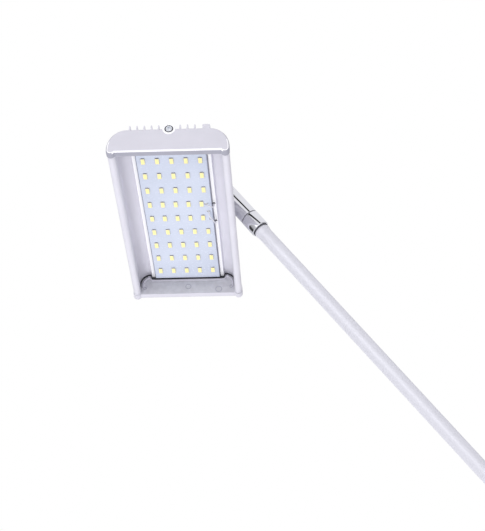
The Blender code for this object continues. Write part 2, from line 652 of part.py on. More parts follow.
# --- base -----------------------------------------------------------------------------
def make_base():
    origin = Vector((0, 0, 0))
    ring_in = BASE_RADIUS - BASE_WALL - GAP
    profile = [
        (0, -PLATE_THICK),
        (ring_in - 2.8, -PLATE_THICK),
        (ring_in - 2.8, -PLATE_THICK - COVER_RING),
        (ring_in, -PLATE_THICK - COVER_RING),
        (ring_in, -PLATE_THICK),
        (PLATE_RADIUS - 1.2, -PLATE_THICK),
        (PLATE_RADIUS, -PLATE_THICK + 1.2),
        (PLATE_RADIUS, 0),
        (0, 0),
    ]
    plate = turned("base_plate", profile, ROUND)
    finish(plate, None, origin, "painted_aluminium", ALONG_X)
    for i in range(4):
        angle = math.radians(45 + 90 * i)
        place = Vector((0, math.cos(angle), math.sin(angle))) * PLATE_HOLE_CIRCLE
        place.x = -PLATE_THICK - 1
        drill(plate, "plate_drill_%d" % (i + 1), None, place, PLATE_HOLE_RADIUS, PLATE_THICK + 2, ALONG_X)

    back = -PLATE_THICK - GAP
    hole = STUD_RADIUS + 0.4
    profile = [(hole, BASE_FRONT)]
    profile += arc((BASE_RADIUS - 4, BASE_FRONT + 4), (4, 4), 270, 360, 5)
    profile += [
        (BASE_RADIUS, back),
        (BASE_RADIUS - BASE_WALL, back),
        (BASE_RADIUS - BASE_WALL, BASE_FRONT + 3),
        (hole, BASE_FRONT + 3),
    ]
    cover = turned("base_housing", profile, ROUND, hollow=True)
    finish(cover, None, origin, "painted_aluminium", ALONG_X)
    drill(cover, "gland_drill", None, Vector((GLAND_X, 0, -BASE_RADIUS - 4)), 5.3, 9)
    for i, side in enumerate((-1, 1)):
        turn = (math.radians(90 * side), 0, 0)
        start = Vector((COVER_SCREW_X, side * (BASE_RADIUS + 2), 0))
        drill(cover, "cover_drill_%d" % (i + 1), None, start, SCREW_HOLE, 8.5, turn)
        drill(plate, "ring_drill_%d" % (i + 1), None, start, SCREW_HOLE, 8.5, turn)
        screw = pan_head_screw("cover_screw_%d" % (i + 1), 5)
        place = Vector((COVER_SCREW_X, side * (BASE_RADIUS + GAP), 0))
        finish(screw, None, place, "steel", turn)

    gland = [
        (GLAND_BORE, -25.6),
        (GLAND_BORE, -40.5),
        (4.5, -40.5),
        (6.0, -38.0),
        (6.0, -34.0),
        (7.5, -33.0),
        (7.5, -28.4),
        (5.0, -28.4),
        (5.0, -25.6),
    ]
    finish(turned("cable_gland", gland, 24, hollow=True), None, Vector((GLAND_X, 0, 0)), "black_nylon")
    block = box("terminal_block", (-17, -9, 8), (-8, 9, 18))
    finish(block, None, origin, "white_plastic")


def make_yoke():
    origin = Vector((0, 0, 0))
    front = YOKE_BACK - YOKE_WEB
    profile = [
        (WIREWAY_RADIUS, front),
        (YOKE_RADIUS - 0.8, front),
        (YOKE_RADIUS, front + 0.8),
        (YOKE_RADIUS, YOKE_BACK),
        (STUD_RADIUS, YOKE_BACK),
        (STUD_RADIUS, -17.5),
        (WIREWAY_RADIUS, -17.5),
    ]
    yoke = turned("base_yoke", profile, ROUND, hollow=True)
    finish(yoke, "yoke", origin, "chrome", ALONG_X)
    ear = arc((BASE_PIVOT_X, 0), (EAR_RADIUS, EAR_RADIUS), 90, 270, 12)
    ear += [(front + 0.5, -EAR_RADIUS), (front + 0.5, EAR_RADIUS)]
    for side, start in (("front", -EAR_OUTER), ("rear", EAR_INNER)):
        plate = extruded("yoke_ear_" + side, ear, start, start + EAR_THICK)
        combine(yoke, cutter(plate, "yoke", origin), "UNION")
    start = BASE_PIVOT + Vector((0, EAR_OUTER + 1, 0))
    drill(yoke, "yoke_pivot_drill", "yoke", start, PIVOT_BOLT_RADIUS + GAP, 2 * EAR_OUTER + 2, ALONG_Y)

    low = YOKE_BACK + GAP
    bore = STUD_RADIUS + 0.4
    ring = [(bore, low), (12, low), (12, low + PIVOT_WASHER), (bore, low + PIVOT_WASHER)]
    finish(turned("base_swivel_washer", ring, ROUND, hollow=True), "yoke", origin, "black_nylon", ALONG_X)
    nut = hex_nut("base_swivel_nut", STUD_RADIUS + GAP, 10.5, 4)
    finish(nut, "yoke", Vector((BASE_FRONT + 3 + GAP, 0, 0)), "steel", ALONG_X)


# --- the lamp -------------------------------------------------------------------------
def make_materials():
    material("painted_aluminium", (0.80, 0.80, 0.84), 0.45, 0.1)
    material("satin_aluminium", (0.75, 0.76, 0.80), 0.35, 0.9)
    material("chrome", (0.85, 0.86, 0.88), 0.06, 1.0)
    material("steel", (0.60, 0.61, 0.63), 0.25, 1.0)
    material("board_white", (0.80, 0.84, 0.92), 0.4, 0.0)
    material("grey_silicone", (0.45, 0.46, 0.48), 0.8, 0.0)
    material("black_rubber", (0.03, 0.03, 0.04), 0.7, 0.0)
    material("black_nylon", (0.05, 0.05, 0.06), 0.5, 0.0)
    material("white_wire", (0.85, 0.85, 0.86), 0.5, 0.0)
    material("white_plastic", (0.82, 0.82, 0.80), 0.5, 0.0)


def make_bodies():
    body("yoke", Vector((BASE_FRONT, 0, 0)))
    body("arm", BASE_PIVOT, "yoke")
    body("knuckle", on_arm(SEAM), "arm")
    body("head", HEAD_PIVOT, "knuckle")


def main():
    clear_scene()
    make_materials()
    make_bodies()
    make_housing()
    make_caps()
    make_gaskets()
    make_cap_screws()
    make_board()
    make_leads()
    make_bracket()
    make_pivot("head", HEAD_PIVOT, "head", "knuckle", EAR_OUTER)
    make_knuckle()
    make_arm()
    make_pivot("base", BASE_PIVOT, "yoke", "arm", EAR_OUTER)
    make_yoke()
    make_base()


main()
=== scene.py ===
"""The LED arm lamp's looks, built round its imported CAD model.

Shapes are made in millimetres, in three frames: the head's (its origin in the middle of the
LED field, on the LEDs' face), the arm's (Z runs down the arm from the head's pivot) and the
base's (Z runs into the wall). Their places are read from the CAD nodes and joints.
"""
import json
import math

import bmesh
import bpy
from mathutils import Euler, Matrix, Vector


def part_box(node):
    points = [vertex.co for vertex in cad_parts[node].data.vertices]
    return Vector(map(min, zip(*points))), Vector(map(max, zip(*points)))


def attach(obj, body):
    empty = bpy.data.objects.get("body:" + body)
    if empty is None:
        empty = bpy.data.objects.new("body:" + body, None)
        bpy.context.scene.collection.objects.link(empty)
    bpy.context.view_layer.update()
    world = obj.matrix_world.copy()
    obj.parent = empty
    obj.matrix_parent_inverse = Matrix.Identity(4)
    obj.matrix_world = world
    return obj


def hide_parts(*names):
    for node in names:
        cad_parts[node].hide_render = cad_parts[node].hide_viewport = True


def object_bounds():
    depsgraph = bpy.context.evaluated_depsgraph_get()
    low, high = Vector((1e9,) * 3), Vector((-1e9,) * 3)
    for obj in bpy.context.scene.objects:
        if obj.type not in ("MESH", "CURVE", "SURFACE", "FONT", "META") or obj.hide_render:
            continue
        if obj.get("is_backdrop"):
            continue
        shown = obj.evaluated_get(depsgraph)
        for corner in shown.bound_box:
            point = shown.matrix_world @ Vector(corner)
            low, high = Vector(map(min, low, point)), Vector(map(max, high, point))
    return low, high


MM = 0.001
ORIGIN = Vector((0, 0, 0))
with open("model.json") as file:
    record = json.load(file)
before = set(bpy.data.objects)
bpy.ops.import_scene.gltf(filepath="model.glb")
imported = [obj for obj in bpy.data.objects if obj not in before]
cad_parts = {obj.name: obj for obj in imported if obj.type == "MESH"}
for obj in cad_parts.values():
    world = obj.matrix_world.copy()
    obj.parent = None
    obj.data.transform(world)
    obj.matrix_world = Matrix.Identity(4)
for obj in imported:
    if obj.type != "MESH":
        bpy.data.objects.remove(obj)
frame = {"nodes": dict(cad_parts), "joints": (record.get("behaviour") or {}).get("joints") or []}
cad_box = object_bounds()


# --- places read from the frame ---
def node_box(node, origin=ORIGIN):
    """A CAD node's lowest and highest corners in millimetres, measured from a point."""
    low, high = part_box(node)
    return (low - origin) / MM, (high - origin) / MM


def node_middle(node, origin=ORIGIN):
    low, high = node_box(node, origin)
    return (low + high) / 2


def reach(node, origin, axis):
    """How far a CAD node reaches along an axis from a point, lowest and highest, in mm."""
    along = [(vert.co - origin).dot(axis) / MM for vert in frame["nodes"][node].data.vertices]
    return min(along), max(along)


def joint(name):
    """A joint's place and direction."""
    found = next(item for item in frame["joints"] if item["name"] == name)
    return Vector(found["pos_m"]), Vector(found["axis"]).normalized()


HEAD_PIVOT = joint("head_tilt")[0]
BASE_PIVOT = joint("base_tilt")[0]
SEAM_PLACE, ARM_DIR = joint("knuckle_swivel")
board_low, board_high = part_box("led_board")
HEAD_ORIGIN = Vector(((board_low.x + board_high.x) / 2, 0, board_low.z))

HEAD = Matrix.Translation(HEAD_ORIGIN)
ARM_TILT = math.atan2(ARM_DIR.x, ARM_DIR.z)
ARM = Matrix.Translation(HEAD_PIVOT) @ Matrix.Rotation(ARM_TILT, 4, "Y")
FOOT = Matrix.Translation(BASE_PIVOT) @ Matrix.Rotation(ARM_TILT - math.pi, 4, "Y")
ALONG_X = Matrix.Rotation(math.pi / 2, 4, "Y")
ALONG_Y = Matrix.Rotation(math.pi / 2, 4, "X")
BASE = ALONG_X
WORLD = Matrix.Identity(4)
UPSIDE_DOWN = Matrix.Rotation(math.pi, 4, "X")

PIVOT_IN_HEAD = ((HEAD_PIVOT.x - HEAD_ORIGIN.x) / MM, (HEAD_PIVOT.z - HEAD_ORIGIN.z) / MM)
ARM_SPAN = (BASE_PIVOT - HEAD_PIVOT).length / MM
SEAM = (SEAM_PLACE - HEAD_PIVOT).length / MM

cap_low, cap_high = node_box("end_cap_front", HEAD_ORIGIN)
rear_low, rear_high = node_box("end_cap_rear", HEAD_ORIGIN)
wall_low, wall_high = node_box("heat_sink_housing", HEAD_ORIGIN)
pcb_low, pcb_high = node_box("led_board", HEAD_ORIGIN)
cap_screw = node_middle("cap_screw_front", HEAD_ORIGIN)
CAP_HALF_WIDTH = cap_high.x
CAP_THICK = cap_high.y - cap_low.y
FOOT_BOTTOM = cap_low.z
FIN_TOP = wall_high.z
WALL_HALF_WIDTH = wall_high.x
PORT = (cap_screw.x, cap_screw.z)

# --- sizes of the head, in the head's frame ---
CAP_TOP = 7.8
CAP_BOTTOM = -13.7
FOOT_RADIUS = 3.5
SHOULDER_X = 32.0
SHOULDER_Z = -10.5
WALL_INSET = CAP_HALF_WIDTH - WALL_HALF_WIDTH
ROOT_Z = CAP_TOP - WALL_INSET
RAIL_RADIUS = 3.1
RAIL_X = WALL_HALF_WIDTH - RAIL_RADIUS
RAIL_Z = wall_low.z + RAIL_RADIUS
GASKET_ROOM = wall_low.y - cap_high.y - 0.1
SEAL_PROUD = 2.0
REFLECTOR_RADIUS = 9.6
REFLECTOR_X = 32.5
REFLECTOR_Z = -3.5
PLATFORM_HALF = 31.5
PLATFORM_Z = 3.3
BOARD_EDGE = 28.2
GROOVE_WIDTH = 0.7
GROOVE_DEPTH = 1.4
FIN_PITCH = 5.7
FIN_ROOT = 1.0
FIN_TIP = 0.55
LEFT_FINS = [-8.3 - FIN_PITCH * i for i in range(5)]
RIGHT_FINS = [8.6 + FIN_PITCH * i for i in range(3)]
RIB_WIDTH = 6.0
PORT_RADIUS = 4.3
PORT_DEPTH = 11.0
BOSS_RADIUS = 5.3
SEAT_RADIUS = 3.4
EDGE_ZONE_Z = -4.0
FOOT_ZONE_X = 43.0
COLUMN_PITCH = 11.4
ROW_PITCH = 20.0
COLUMNS = 5
ROWS = 9
SHORT_ROWS = (3, 4)
SHORT_PITCH = COLUMN_PITCH * 14 / 15
BOARD_FACE = 0.8
LED_HALF = (1.62, 3.55)
WINDOW_HALF = (1.52, 3.45)
LED_SHIFT = 0.45
SOLDER_HALF = (1.2, 0.3)
LIP_HALF = 0.9
LIP_PROUD = 1.0
LIP_SINK = 0.3

# --- sizes of the fittings ---
SCREW_HOLE = 1.75
BOLT_HOLE = 2.8
PAN_HEIGHT = 2.2
PAN_RADIUS = 2.6
SHANK_RADIUS = 1.4
EAR_RADIUS = 7.5
EAR_INNER = 8.1
EAR_OUTER = 11.1
TONGUE_HALF = 6.5
TONGUE_LENGTH = 14.0
TONGUE_EDGE = 0.3
BAR_RADIUS = 7.85
TUBE_RADIUS = 6.0
CABLE_BORE = 2.6
SOCKET_LENGTH = 44.0
SCREW_IN_FOOT = 39.0
UPPER_SCREW = SEAM + 11.2
LOWER_SCREW = ARM_SPAN - SCREW_IN_FOOT
SEAM_HALF = 0.45
COVER_RADIUS = 28.0
COVER_WALL = 2.5
PLATE_RADIUS = 38.0
PLATE_THICK = 5.0
RING_WALL = 2.8
RING_HEIGHT = 12.0
HOLE_CIRCLE = 33.0
GLAND_BORE = 3.3
GLAND_GROOVES = 12


# --- mesh helpers ---
def arc(centre, radii, start, end, steps):
    """Points on an ellipse from one angle to another, in degrees."""
    points = []
    for i in range(steps + 1):
        angle = math.radians(start + (end - start) * i / steps)
        points.append((centre[0] + radii[0] * math.cos(angle), centre[1] + radii[1] * math.sin(angle)))
    return points


def mirrored(points):
    return [(-x, z) for x, z in reversed(points)]


def rounded(corners, closed=False, steps=5):
    """A polyline through (x, y, radius) corners, each with a radius turned into an arc."""
    points = []
    count = len(corners)
    for i, (x, y, radius) in enumerate(corners):
        here = Vector((x, y))
        if radius == 0 or not closed and i in (0, count - 1):
            points.append((x, y))
            continue
        before = (Vector(corners[i - 1][:2]) - here).normalized()
        after = (Vector(corners[(i + 1) % count][:2]) - here).normalized()
        half = before.angle(after) / 2
        setback = radius / math.tan(half)
        start, end = here + before * setback, here + after * setback
        centre = here + (before + after).normalized() * (radius / math.sin(half))
        first, sweep = start - centre, (start - centre).angle_signed(end - centre)
        for k in range(steps + 1):
            turn = -sweep * k / steps
            spun = Vector((first.x * math.cos(turn) - first.y * math.sin(turn),
                           first.x * math.sin(turn) + first.y * math.cos(turn)))
            points.append(tuple(centre + spun))
    return points


def new_object(name, bm):
    """An object in metres from a mesh made in millimetres."""
    bmesh.ops.scale(bm, vec=(MM, MM, MM), verts=bm.verts)
    bmesh.ops.recalc_face_normals(bm, faces=bm.faces)
    mesh = bpy.data.meshes.new(name)
    bm.to_mesh(mesh)
    bm.free()
    obj = bpy.data.objects.new(name, mesh)
    bpy.context.scene.collection.objects.link(obj)
    return obj


def skin(bm, rings, capped=False):
    """Faces from ring to ring of vertices, where a ring of one vertex is a pole."""
    faces = []
    for lower, upper in zip(rings, rings[1:]):
        for i in range(max(len(lower), len(upper))):
            corners = [lower[i % len(lower)], lower[(i + 1) % len(lower)],
                       upper[(i + 1) % len(upper)], upper[i % len(upper)]]
            faces.append(bm.faces.new(list(dict.fromkeys(corners))))
    if capped:
        bm.faces.new(rings[0])
        bm.faces.new(list(reversed(rings[-1])))
    return faces


def prism(points, travel):
    """A flat outline of (x, y, z) points and the walls it leaves on a straight way."""
    bm = bmesh.new()
    face = bm.faces.new([bm.verts.new(point) for point in points])
    made = bmesh.ops.extrude_face_region(bm, geom=[face])
    far = [item for item in made["geom"] if isinstance(item, bmesh.types.BMVert)]
    bmesh.ops.translate(bm, verts=far, vec=travel)
    return bm


def turned(name, corners, sides=96, hollow=False, steps=5):
    """A body of revolution about Z from (radius, height, fillet) corners; a hollow one is a ring."""
    bm = bmesh.new()
    rings = []
    for radius, height in rounded(corners, hollow, steps):
        if radius < 1e-6:
            rings.append([bm.verts.new((0, 0, height))])
            continue
        angles = [2 * math.pi * i / sides for i in range(sides)]
        rings.append([bm.verts.new((radius * math.cos(a), radius * math.sin(a), height)) for a in angles])
    skin(bm, rings + rings[:1] if hollow else rings)
    return new_object(name, bm)


def ring(name, inner, outer, low, high, rounds, sides):
    """A flat ring about Z; its fillets run inner low, outer low, outer high, inner high."""
    corners = zip((inner, outer, outer, inner), (low, low, high, high), rounds)
    return turned(name, list(corners), sides, hollow=True)


def rod(name, radius, start, end, sides=48):
    return turned(name, [(0, start, 0), (radius, start, 0), (radius, end, 0), (0, end, 0)], sides)


def extruded(name, outline, start, end, near_round=0, far_round=0, segments=3):
    """An (X, Z) outline carried along Y, with a rounded rim at either end."""
    bm = prism([(x, start, z) for x, z in outline], (0, end - start, 0))
    for rim_y, radius in ((start, near_round), (end, far_round)):
        if radius:
            rim = [e for e in bm.edges if all(abs(v.co.y - rim_y) < 1e-4 for v in e.verts)]
            bmesh.ops.bevel(bm, geom=rim, offset=radius, segments=segments, profile=0.5,
                            affect="EDGES", clamp_overlap=False)
    return new_object(name, bm)


def box(name, low, high, radius=0, segments=3):
    """A block with rounded edges."""
    bm = bmesh.new()
    bmesh.ops.create_cube(bm, size=1)
    for vert in bm.verts:
        vert.co = Vector([low[i] + (vert.co[i] + 0.5) * (high[i] - low[i]) for i in range(3)])
    if radius:
        bmesh.ops.bevel(bm, geom=bm.edges[:], offset=radius, segments=segments, profile=0.5, affect="EDGES")
    return new_object(name, bm)


def swept(name, path, section):
    """A section of (sideways, along Y) points carried along an (X, Z) path."""
    bm = bmesh.new()
    rings = []
    for i, (x, z) in enumerate(path):
        ahead = Vector(path[min(i + 1, len(path) - 1)])
        behind = Vector(path[max(i - 1, 0)])
        side = (ahead - behind).normalized()
        side = Vector((side.y, -side.x))
        rings.append([bm.verts.new((x + side.x * s, y, z + side.y * s)) for s, y in section])
    skin(bm, rings, capped=True)
    return new_object(name, bm)


def put(obj, *matrices):
    """Move an object's mesh by one matrix after another."""
    for matrix in matrices:
        obj.data.transform(matrix)
    return obj


def shift(x, y, z):
    """A move in millimetres."""
    return Matrix.Translation((x * MM, y * MM, z * MM))


def baked(obj):
    """Replace an object's mesh by what its modifiers make of it."""
    graph = bpy.context.evaluated_depsgraph_get()
    mesh = bpy.data.meshes.new_from_object(obj.evaluated_get(graph), depsgraph=graph)
    obj.modifiers.clear()
    obj.data = mesh
    return obj


def carve(obj, tools, operation="DIFFERENCE"):
    """Cut tools from an object, or join them to it, and remove them."""
    for tool in tools:
        modifier = obj.modifiers.new(tool.name, "BOOLEAN")
        modifier.operation = operation
        modifier.solver = "EXACT"
        modifier.object = tool
    baked(obj)
    for tool in tools:
        bpy.data.objects.remove(tool)
    return obj


def soften(obj, width, segments=2):
    """Round the edges that are still sharp."""
    modifier = obj.modifiers.new("edges", "BEVEL")
    modifier.width = width * MM
    modifier.segments = segments
    modifier.limit_method = "ANGLE"
    modifier.angle_limit = math.radians(30)
    return baked(obj)


def join(name, parts):
    """One object from several, keeping their materials."""
    with bpy.context.temp_override(active_object=parts[0], selected_editable_objects=parts):
        bpy.ops.object.join()
    parts[0].name = name
    return parts[0]


def add_slots(obj, mats, *names):
    for name in names:
        obj.data.materials.append(mats[name])


def recoat(node, mat):
    """Give a CAD node that stays in view its material."""
    materials = frame["nodes"][node].data.materials
    materials.clear()
    materials.append(mat)


def finish(obj, body, place, mat, stands_for=(), own_axes=False):
    """Put a piece in its frame, on its body and in its material, and hide the CAD parts it stands for.

    A piece with its own axes keeps its mesh along them, for a grain that runs down it.
    """
    if mat:
        obj.data.materials.clear()
        obj.data.materials.append(mat)
    obj.data.shade_smooth()
    obj.data.set_sharp_from_angle(angle=math.radians(35))
    if own_axes:
        obj.matrix_world = place
    else:
        put(obj, place)
    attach(obj, body)
    if stands_for:
        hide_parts(*stands_for)
    return obj


# --- materials ---
NOISE_SPAN = (0.3, 0.7)


def add_node(tree, kind, inputs, **settings):
    """A shader node with settings, and its inputs fed from sockets or set to values."""
    node = tree.nodes.new(kind)
    for key, value in settings.items():
        setattr(node, key, value)
    for key, source in inputs.items():
        if isinstance(source, bpy.types.NodeSocket):
            tree.links.new(source, node.inputs[key])
        else:
            node.inputs[key].default_value = source
    return node


class Shader:
    """A Principled material and short ways to feed its sockets from noise in object space."""

    def __init__(self, name, colour, roughness, metallic=0.0, **sockets):
        self.mat = bpy.data.materials.new(name)
        self.mat.use_nodes = True
        self.tree = self.mat.node_tree
        self.principled = self.tree.nodes["Principled BSDF"]
        self.colour = colour
        values = {"Base Color": (*colour, 1), "Roughness": roughness, "Metallic": metallic}
        values.update({key.replace("_", " "): value for key, value in sockets.items()})
        for key, value in values.items():
            self.principled.inputs[key].default_value = value
        self.place = add_node(self.tree, "ShaderNodeTexCoord", {}).outputs["Object"]

    def feed(self, key, output):
        """Drive one of the Principled sockets; the shader is returned, so that calls can be chained."""
        self.tree.links.new(output, self.principled.inputs[key])
        return self

    def noise(self, scale, detail=3.0, stretch=(1, 1, 1)):
        """Noise with so many features a metre."""
        mapping = add_node(self.tree, "ShaderNodeMapping", {"Vector": self.place, "Scale": stretch})
        inputs = {"Vector": mapping.outputs["Vector"], "Scale": scale, "Detail": detail}
        return add_node(self.tree, "ShaderNodeTexNoise", inputs).outputs["Fac"]

    def vary_colour(self, scale, amount, detail=3.0, stretch=(1, 1, 1), tint=(0, 0, 0)):
        """Lighter and darker patches, some of them tinted."""
        low = [max(0, c * (1 - amount) + t) for c, t in zip(self.colour, tint)]
        high = [min(1, c * (1 + amount)) for c in self.colour]
        ramp = add_node(self.tree, "ShaderNodeValToRGB", {"Fac": self.noise(scale, detail, stretch)})
        for element, position, colour in zip(ramp.color_ramp.elements, NOISE_SPAN, (low, high)):
            element.position = position
            element.color = (*colour, 1)
        return self.feed("Base Color", ramp.outputs["Color"])

    def vary_roughness(self, scale, low, high, stretch=(1, 1, 1)):
        """Glossier and duller patches."""
        inputs = {"Value": self.noise(scale, 4.0, stretch), "From Min": NOISE_SPAN[0],
                  "From Max": NOISE_SPAN[1], "To Min": low, "To Max": high}
        return self.feed("Roughness", add_node(self.tree, "ShaderNodeMapRange", inputs).outputs["Result"])

    def bump(self, scale, strength, distance, detail=3.0):
        """A fine relief; the distance is its depth in millimetres."""
        inputs = {"Strength": strength, "Distance": distance * MM, "Height": self.noise(scale, detail)}
        return self.feed("Normal", add_node(self.tree, "ShaderNodeBump", inputs).outputs["Normal"])


def make_materials():
    """Every material by its short name."""
    along = (1, 1, 0.012)
    shaders = {
        "housing": Shader("housing_paint", (0.80, 0.79, 0.86), 0.36, Coat_Weight=0.15, Coat_Roughness=0.2)
        .vary_colour(35, 0.02).vary_roughness(160, 0.30, 0.42).bump(1800, 0.12, 0.03),
        # Painted shade: a darker coat for the fins and rib on the housing's back and for the far cap's back
        # rim, which lie in shade.
        "fins": Shader("fin_painted_shade", (0.60, 0.59, 0.66), 0.42)
        .vary_colour(40, 0.03).vary_roughness(180, 0.36, 0.5).bump(1800, 0.12, 0.03),
        "cap": Shader("cap_paint", (0.74, 0.73, 0.80), 0.48)
        .vary_colour(60, 0.02).vary_roughness(220, 0.42, 0.55).bump(1500, 0.2, 0.04),
        # Painted highlight: a near-white, faintly glowing coat for the caps' lower rims and screw bosses
        # and for the strips beside the board, where light glints.
        "rim_painted_highlight": Shader("rim_painted_highlight", (0.98, 0.98, 1.0), 0.22, Emission_Color=(1, 1, 1, 1),
                          Emission_Strength=0.12)
        .vary_colour(80, 0.01).vary_roughness(300, 0.18, 0.28),
        # Painted shade: a dark coat for the near cap's sides and feet, where they turn from the light; it
        # also colours the mould's pin marks in the far cap.
        "cap_shade_and_pin_marks": Shader("cap_shade_and_pin_marks", (0.42, 0.42, 0.49), 0.42)
        .vary_colour(60, 0.03).vary_roughness(220, 0.36, 0.50).bump(1500, 0.15, 0.03),
        "casting": Shader("cap_casting", (0.64, 0.64, 0.68), 0.34)
        .vary_colour(190, 0.10, detail=6).vary_roughness(260, 0.25, 0.5).bump(420, 0.35, 0.12, detail=5),
        "base": Shader("base_paint", (0.76, 0.76, 0.82), 0.4, Coat_Weight=0.1)
        .vary_colour(40, 0.02).vary_roughness(180, 0.34, 0.46).bump(1800, 0.12, 0.03),
        "satin": Shader("satin_aluminium", (0.80, 0.80, 0.86), 0.5, 0.2)
        .vary_colour(60, 0.01, stretch=along).vary_roughness(200, 0.46, 0.54, stretch=along),
        "chrome": Shader("chrome", (0.86, 0.865, 0.90), 0.05, 1.0)
        .vary_colour(70, 0.02).vary_roughness(140, 0.03, 0.08).bump(45, 0.05, 0.05),
        "steel": Shader("steel", (0.66, 0.67, 0.70), 0.24, 1.0)
        .vary_colour(500, 0.06).vary_roughness(900, 0.16, 0.34).bump(1500, 0.1, 0.02),
        "zinc": Shader("bright_zinc", (0.84, 0.87, 0.92), 0.3, 0.25)
        .vary_colour(500, 0.04).vary_roughness(900, 0.22, 0.36),
        "mask": Shader("solder_mask", (0.70, 0.755, 0.88), 0.22, Coat_Weight=0.5, Coat_Roughness=0.08)
        .vary_colour(45, 0.025, tint=(-0.01, -0.005, 0.0)).vary_roughness(500, 0.18, 0.30)
        .bump(700, 0.06, 0.02),
        # Painted shade: the dark board edge stands for the shadow gap beside the board.
        "board_edge_painted_shade": Shader("board_edge_painted_shade", (0.34, 0.36, 0.46), 0.4, 0.1)
        .vary_colour(600, 0.08).vary_roughness(900, 0.3, 0.5),
        "led_body": Shader("led_body", (0.88, 0.88, 0.84), 0.35)
        .vary_colour(900, 0.02).vary_roughness(1500, 0.3, 0.45),
        # Painted shade: the LEDs' side walls are dark as if in shade.
        "led_wall_painted_shade": Shader("led_wall_painted_shade", (0.30, 0.29, 0.36), 0.4)
        .vary_colour(900, 0.05).vary_roughness(1500, 0.35, 0.5),
        # The yellow phosphor, with a faint painted glow although the LEDs are not lit.
        "phosphor_painted_glow": Shader("led_phosphor", (0.96, 0.88, 0.42), 0.3, Emission_Color=(1.0, 0.88, 0.36, 1),
                           Emission_Strength=0.16)
        .vary_colour(1500, 0.05, tint=(0, -0.01, -0.03)).vary_roughness(1200, 0.2, 0.35),
        "solder": Shader("solder", (0.72, 0.73, 0.75), 0.25, 1.0)
        .vary_colour(900, 0.1).vary_roughness(1500, 0.15, 0.4).bump(900, 0.3, 0.05),
        "wire": Shader("white_wire", (0.80, 0.80, 0.84), 0.4)
        .vary_colour(300, 0.03).vary_roughness(600, 0.35, 0.5),
        "rubber": Shader("black_rubber", (0.045, 0.045, 0.055), 0.55)
        .vary_colour(300, 0.25).vary_roughness(700, 0.45, 0.7).bump(1500, 0.2, 0.03),
        "nylon": Shader("black_nylon", (0.045, 0.045, 0.052), 0.42)
        .vary_colour(200, 0.2).vary_roughness(600, 0.35, 0.55).bump(1200, 0.15, 0.03),
        "ring": Shader("friction_ring", (0.22, 0.21, 0.25), 0.4)
        .vary_colour(300, 0.08).vary_roughness(600, 0.35, 0.5),
        "pad": Shader("silicone_pad", (0.42, 0.43, 0.46), 0.75)
        .vary_colour(400, 0.06).vary_roughness(700, 0.65, 0.85).bump(1200, 0.25, 0.05),
        "plastic": Shader("white_plastic", (0.80, 0.80, 0.78), 0.45)
        .vary_colour(150, 0.02).vary_roughness(400, 0.4, 0.52),
        "floor": Shader("pale_floor", (0.86, 0.86, 0.88), 0.7)
        .vary_colour(1.5, 0.01).vary_roughness(3, 0.65, 0.75),
    }
    return {name: shader.mat for name, shader in shaders.items()}


# --- head ---
def over_port(radius, floor, steps):
    """The part of a round boss on the screw port that stands above a height."""
    lift = math.degrees(math.asin((floor - PORT[1]) / radius))
    return arc(PORT, (radius, radius), lift, 180 - lift, steps)


def cap_outline():
    """The D of an end cap: round feet, straight lower edge, round shoulders and screw boss."""
    foot_x = CAP_HALF_WIDTH - FOOT_RADIUS
    foot_z = FOOT_BOTTOM + FOOT_RADIUS
    inner = math.degrees(math.asin((CAP_BOTTOM - foot_z) / FOOT_RADIUS))
    right = arc((foot_x, foot_z), (FOOT_RADIUS, FOOT_RADIUS), 180 - inner, 360, 20)
    shoulder = (CAP_HALF_WIDTH - SHOULDER_X, CAP_TOP - SHOULDER_Z)
    right += arc((SHOULDER_X, SHOULDER_Z), shoulder, 0, 90, 28)[1:]
    return right + over_port(BOSS_RADIUS, CAP_TOP, 24) + mirrored(right)


def inner_outline():
    """The trough's right half: platform with a groove, concave reflector and round rail."""
    groove_top = PLATFORM_Z + GROOVE_DEPTH
    groove_end = BOARD_EDGE + GROOVE_WIDTH
    points = [(BOARD_EDGE, PLATFORM_Z), (BOARD_EDGE, groove_top), (groove_end, groove_top),
              (groove_end, PLATFORM_Z), (PLATFORM_HALF, PLATFORM_Z)]
    points += arc((REFLECTOR_X, REFLECTOR_Z), (REFLECTOR_RADIUS, REFLECTOR_RADIUS), 90, 0, 24)
    points.append((REFLECTOR_X + REFLECTOR_RADIUS, RAIL_Z + 4.2))
    points.append((RAIL_X - RAIL_RADIUS, RAIL_Z + 3.0))
    return points + arc((RAIL_X, RAIL_Z), (RAIL_RADIUS, RAIL_RADIUS), 180, 360, 28)


def fin(centre):
    """A tapered fin with a round tip, from its right root to its left root."""
    tip = arc((centre, FIN_TOP - FIN_TIP), (FIN_TIP, FIN_TIP), 0, 180, 8)
    return [(centre + FIN_ROOT, ROOT_Z), *tip, (centre - FIN_ROOT, ROOT_Z)]


def shoulder_arc(start):
    """The housing's round shoulder, from an angle up to its flat back."""
    radii = (WALL_HALF_WIDTH - SHOULDER_X, ROOT_Z - SHOULDER_Z)
    return arc((SHOULDER_X, SHOULDER_Z), radii, start, 90, 28)


def housing_outline():
    """The extrusion's section: trough, shoulders, a solid rib, fins and the screw port."""
    side = inner_outline() + shoulder_arc(0)
    left = SHOULDER_X - RIB_WIDTH
    rib = [(SHOULDER_X - 0.01, FIN_TOP - 0.5), (SHOULDER_X - 0.5, FIN_TOP), (left + 0.5, FIN_TOP),
           (left, FIN_TOP - 0.5), (left, ROOT_Z)]
    outline = side + rib
    for centre in reversed(RIGHT_FINS):
        outline += fin(centre)
    outline += over_port(PORT_RADIUS, ROOT_Z, 20)
    for centre in LEFT_FINS:
        outline += fin(centre)
    return outline + mirrored(side)


def bracket_holes(start, end):
    """Cutters for the holes of the bracket's two screws."""
    tools = []
    for i in (1, 2):
        middle = node_middle("bracket_screw_%d" % i, HEAD_ORIGIN)
        tools.append(put(rod("bracket_hole", SCREW_HOLE, start, end), shift(middle.x, middle.y, 0)))
    return tools


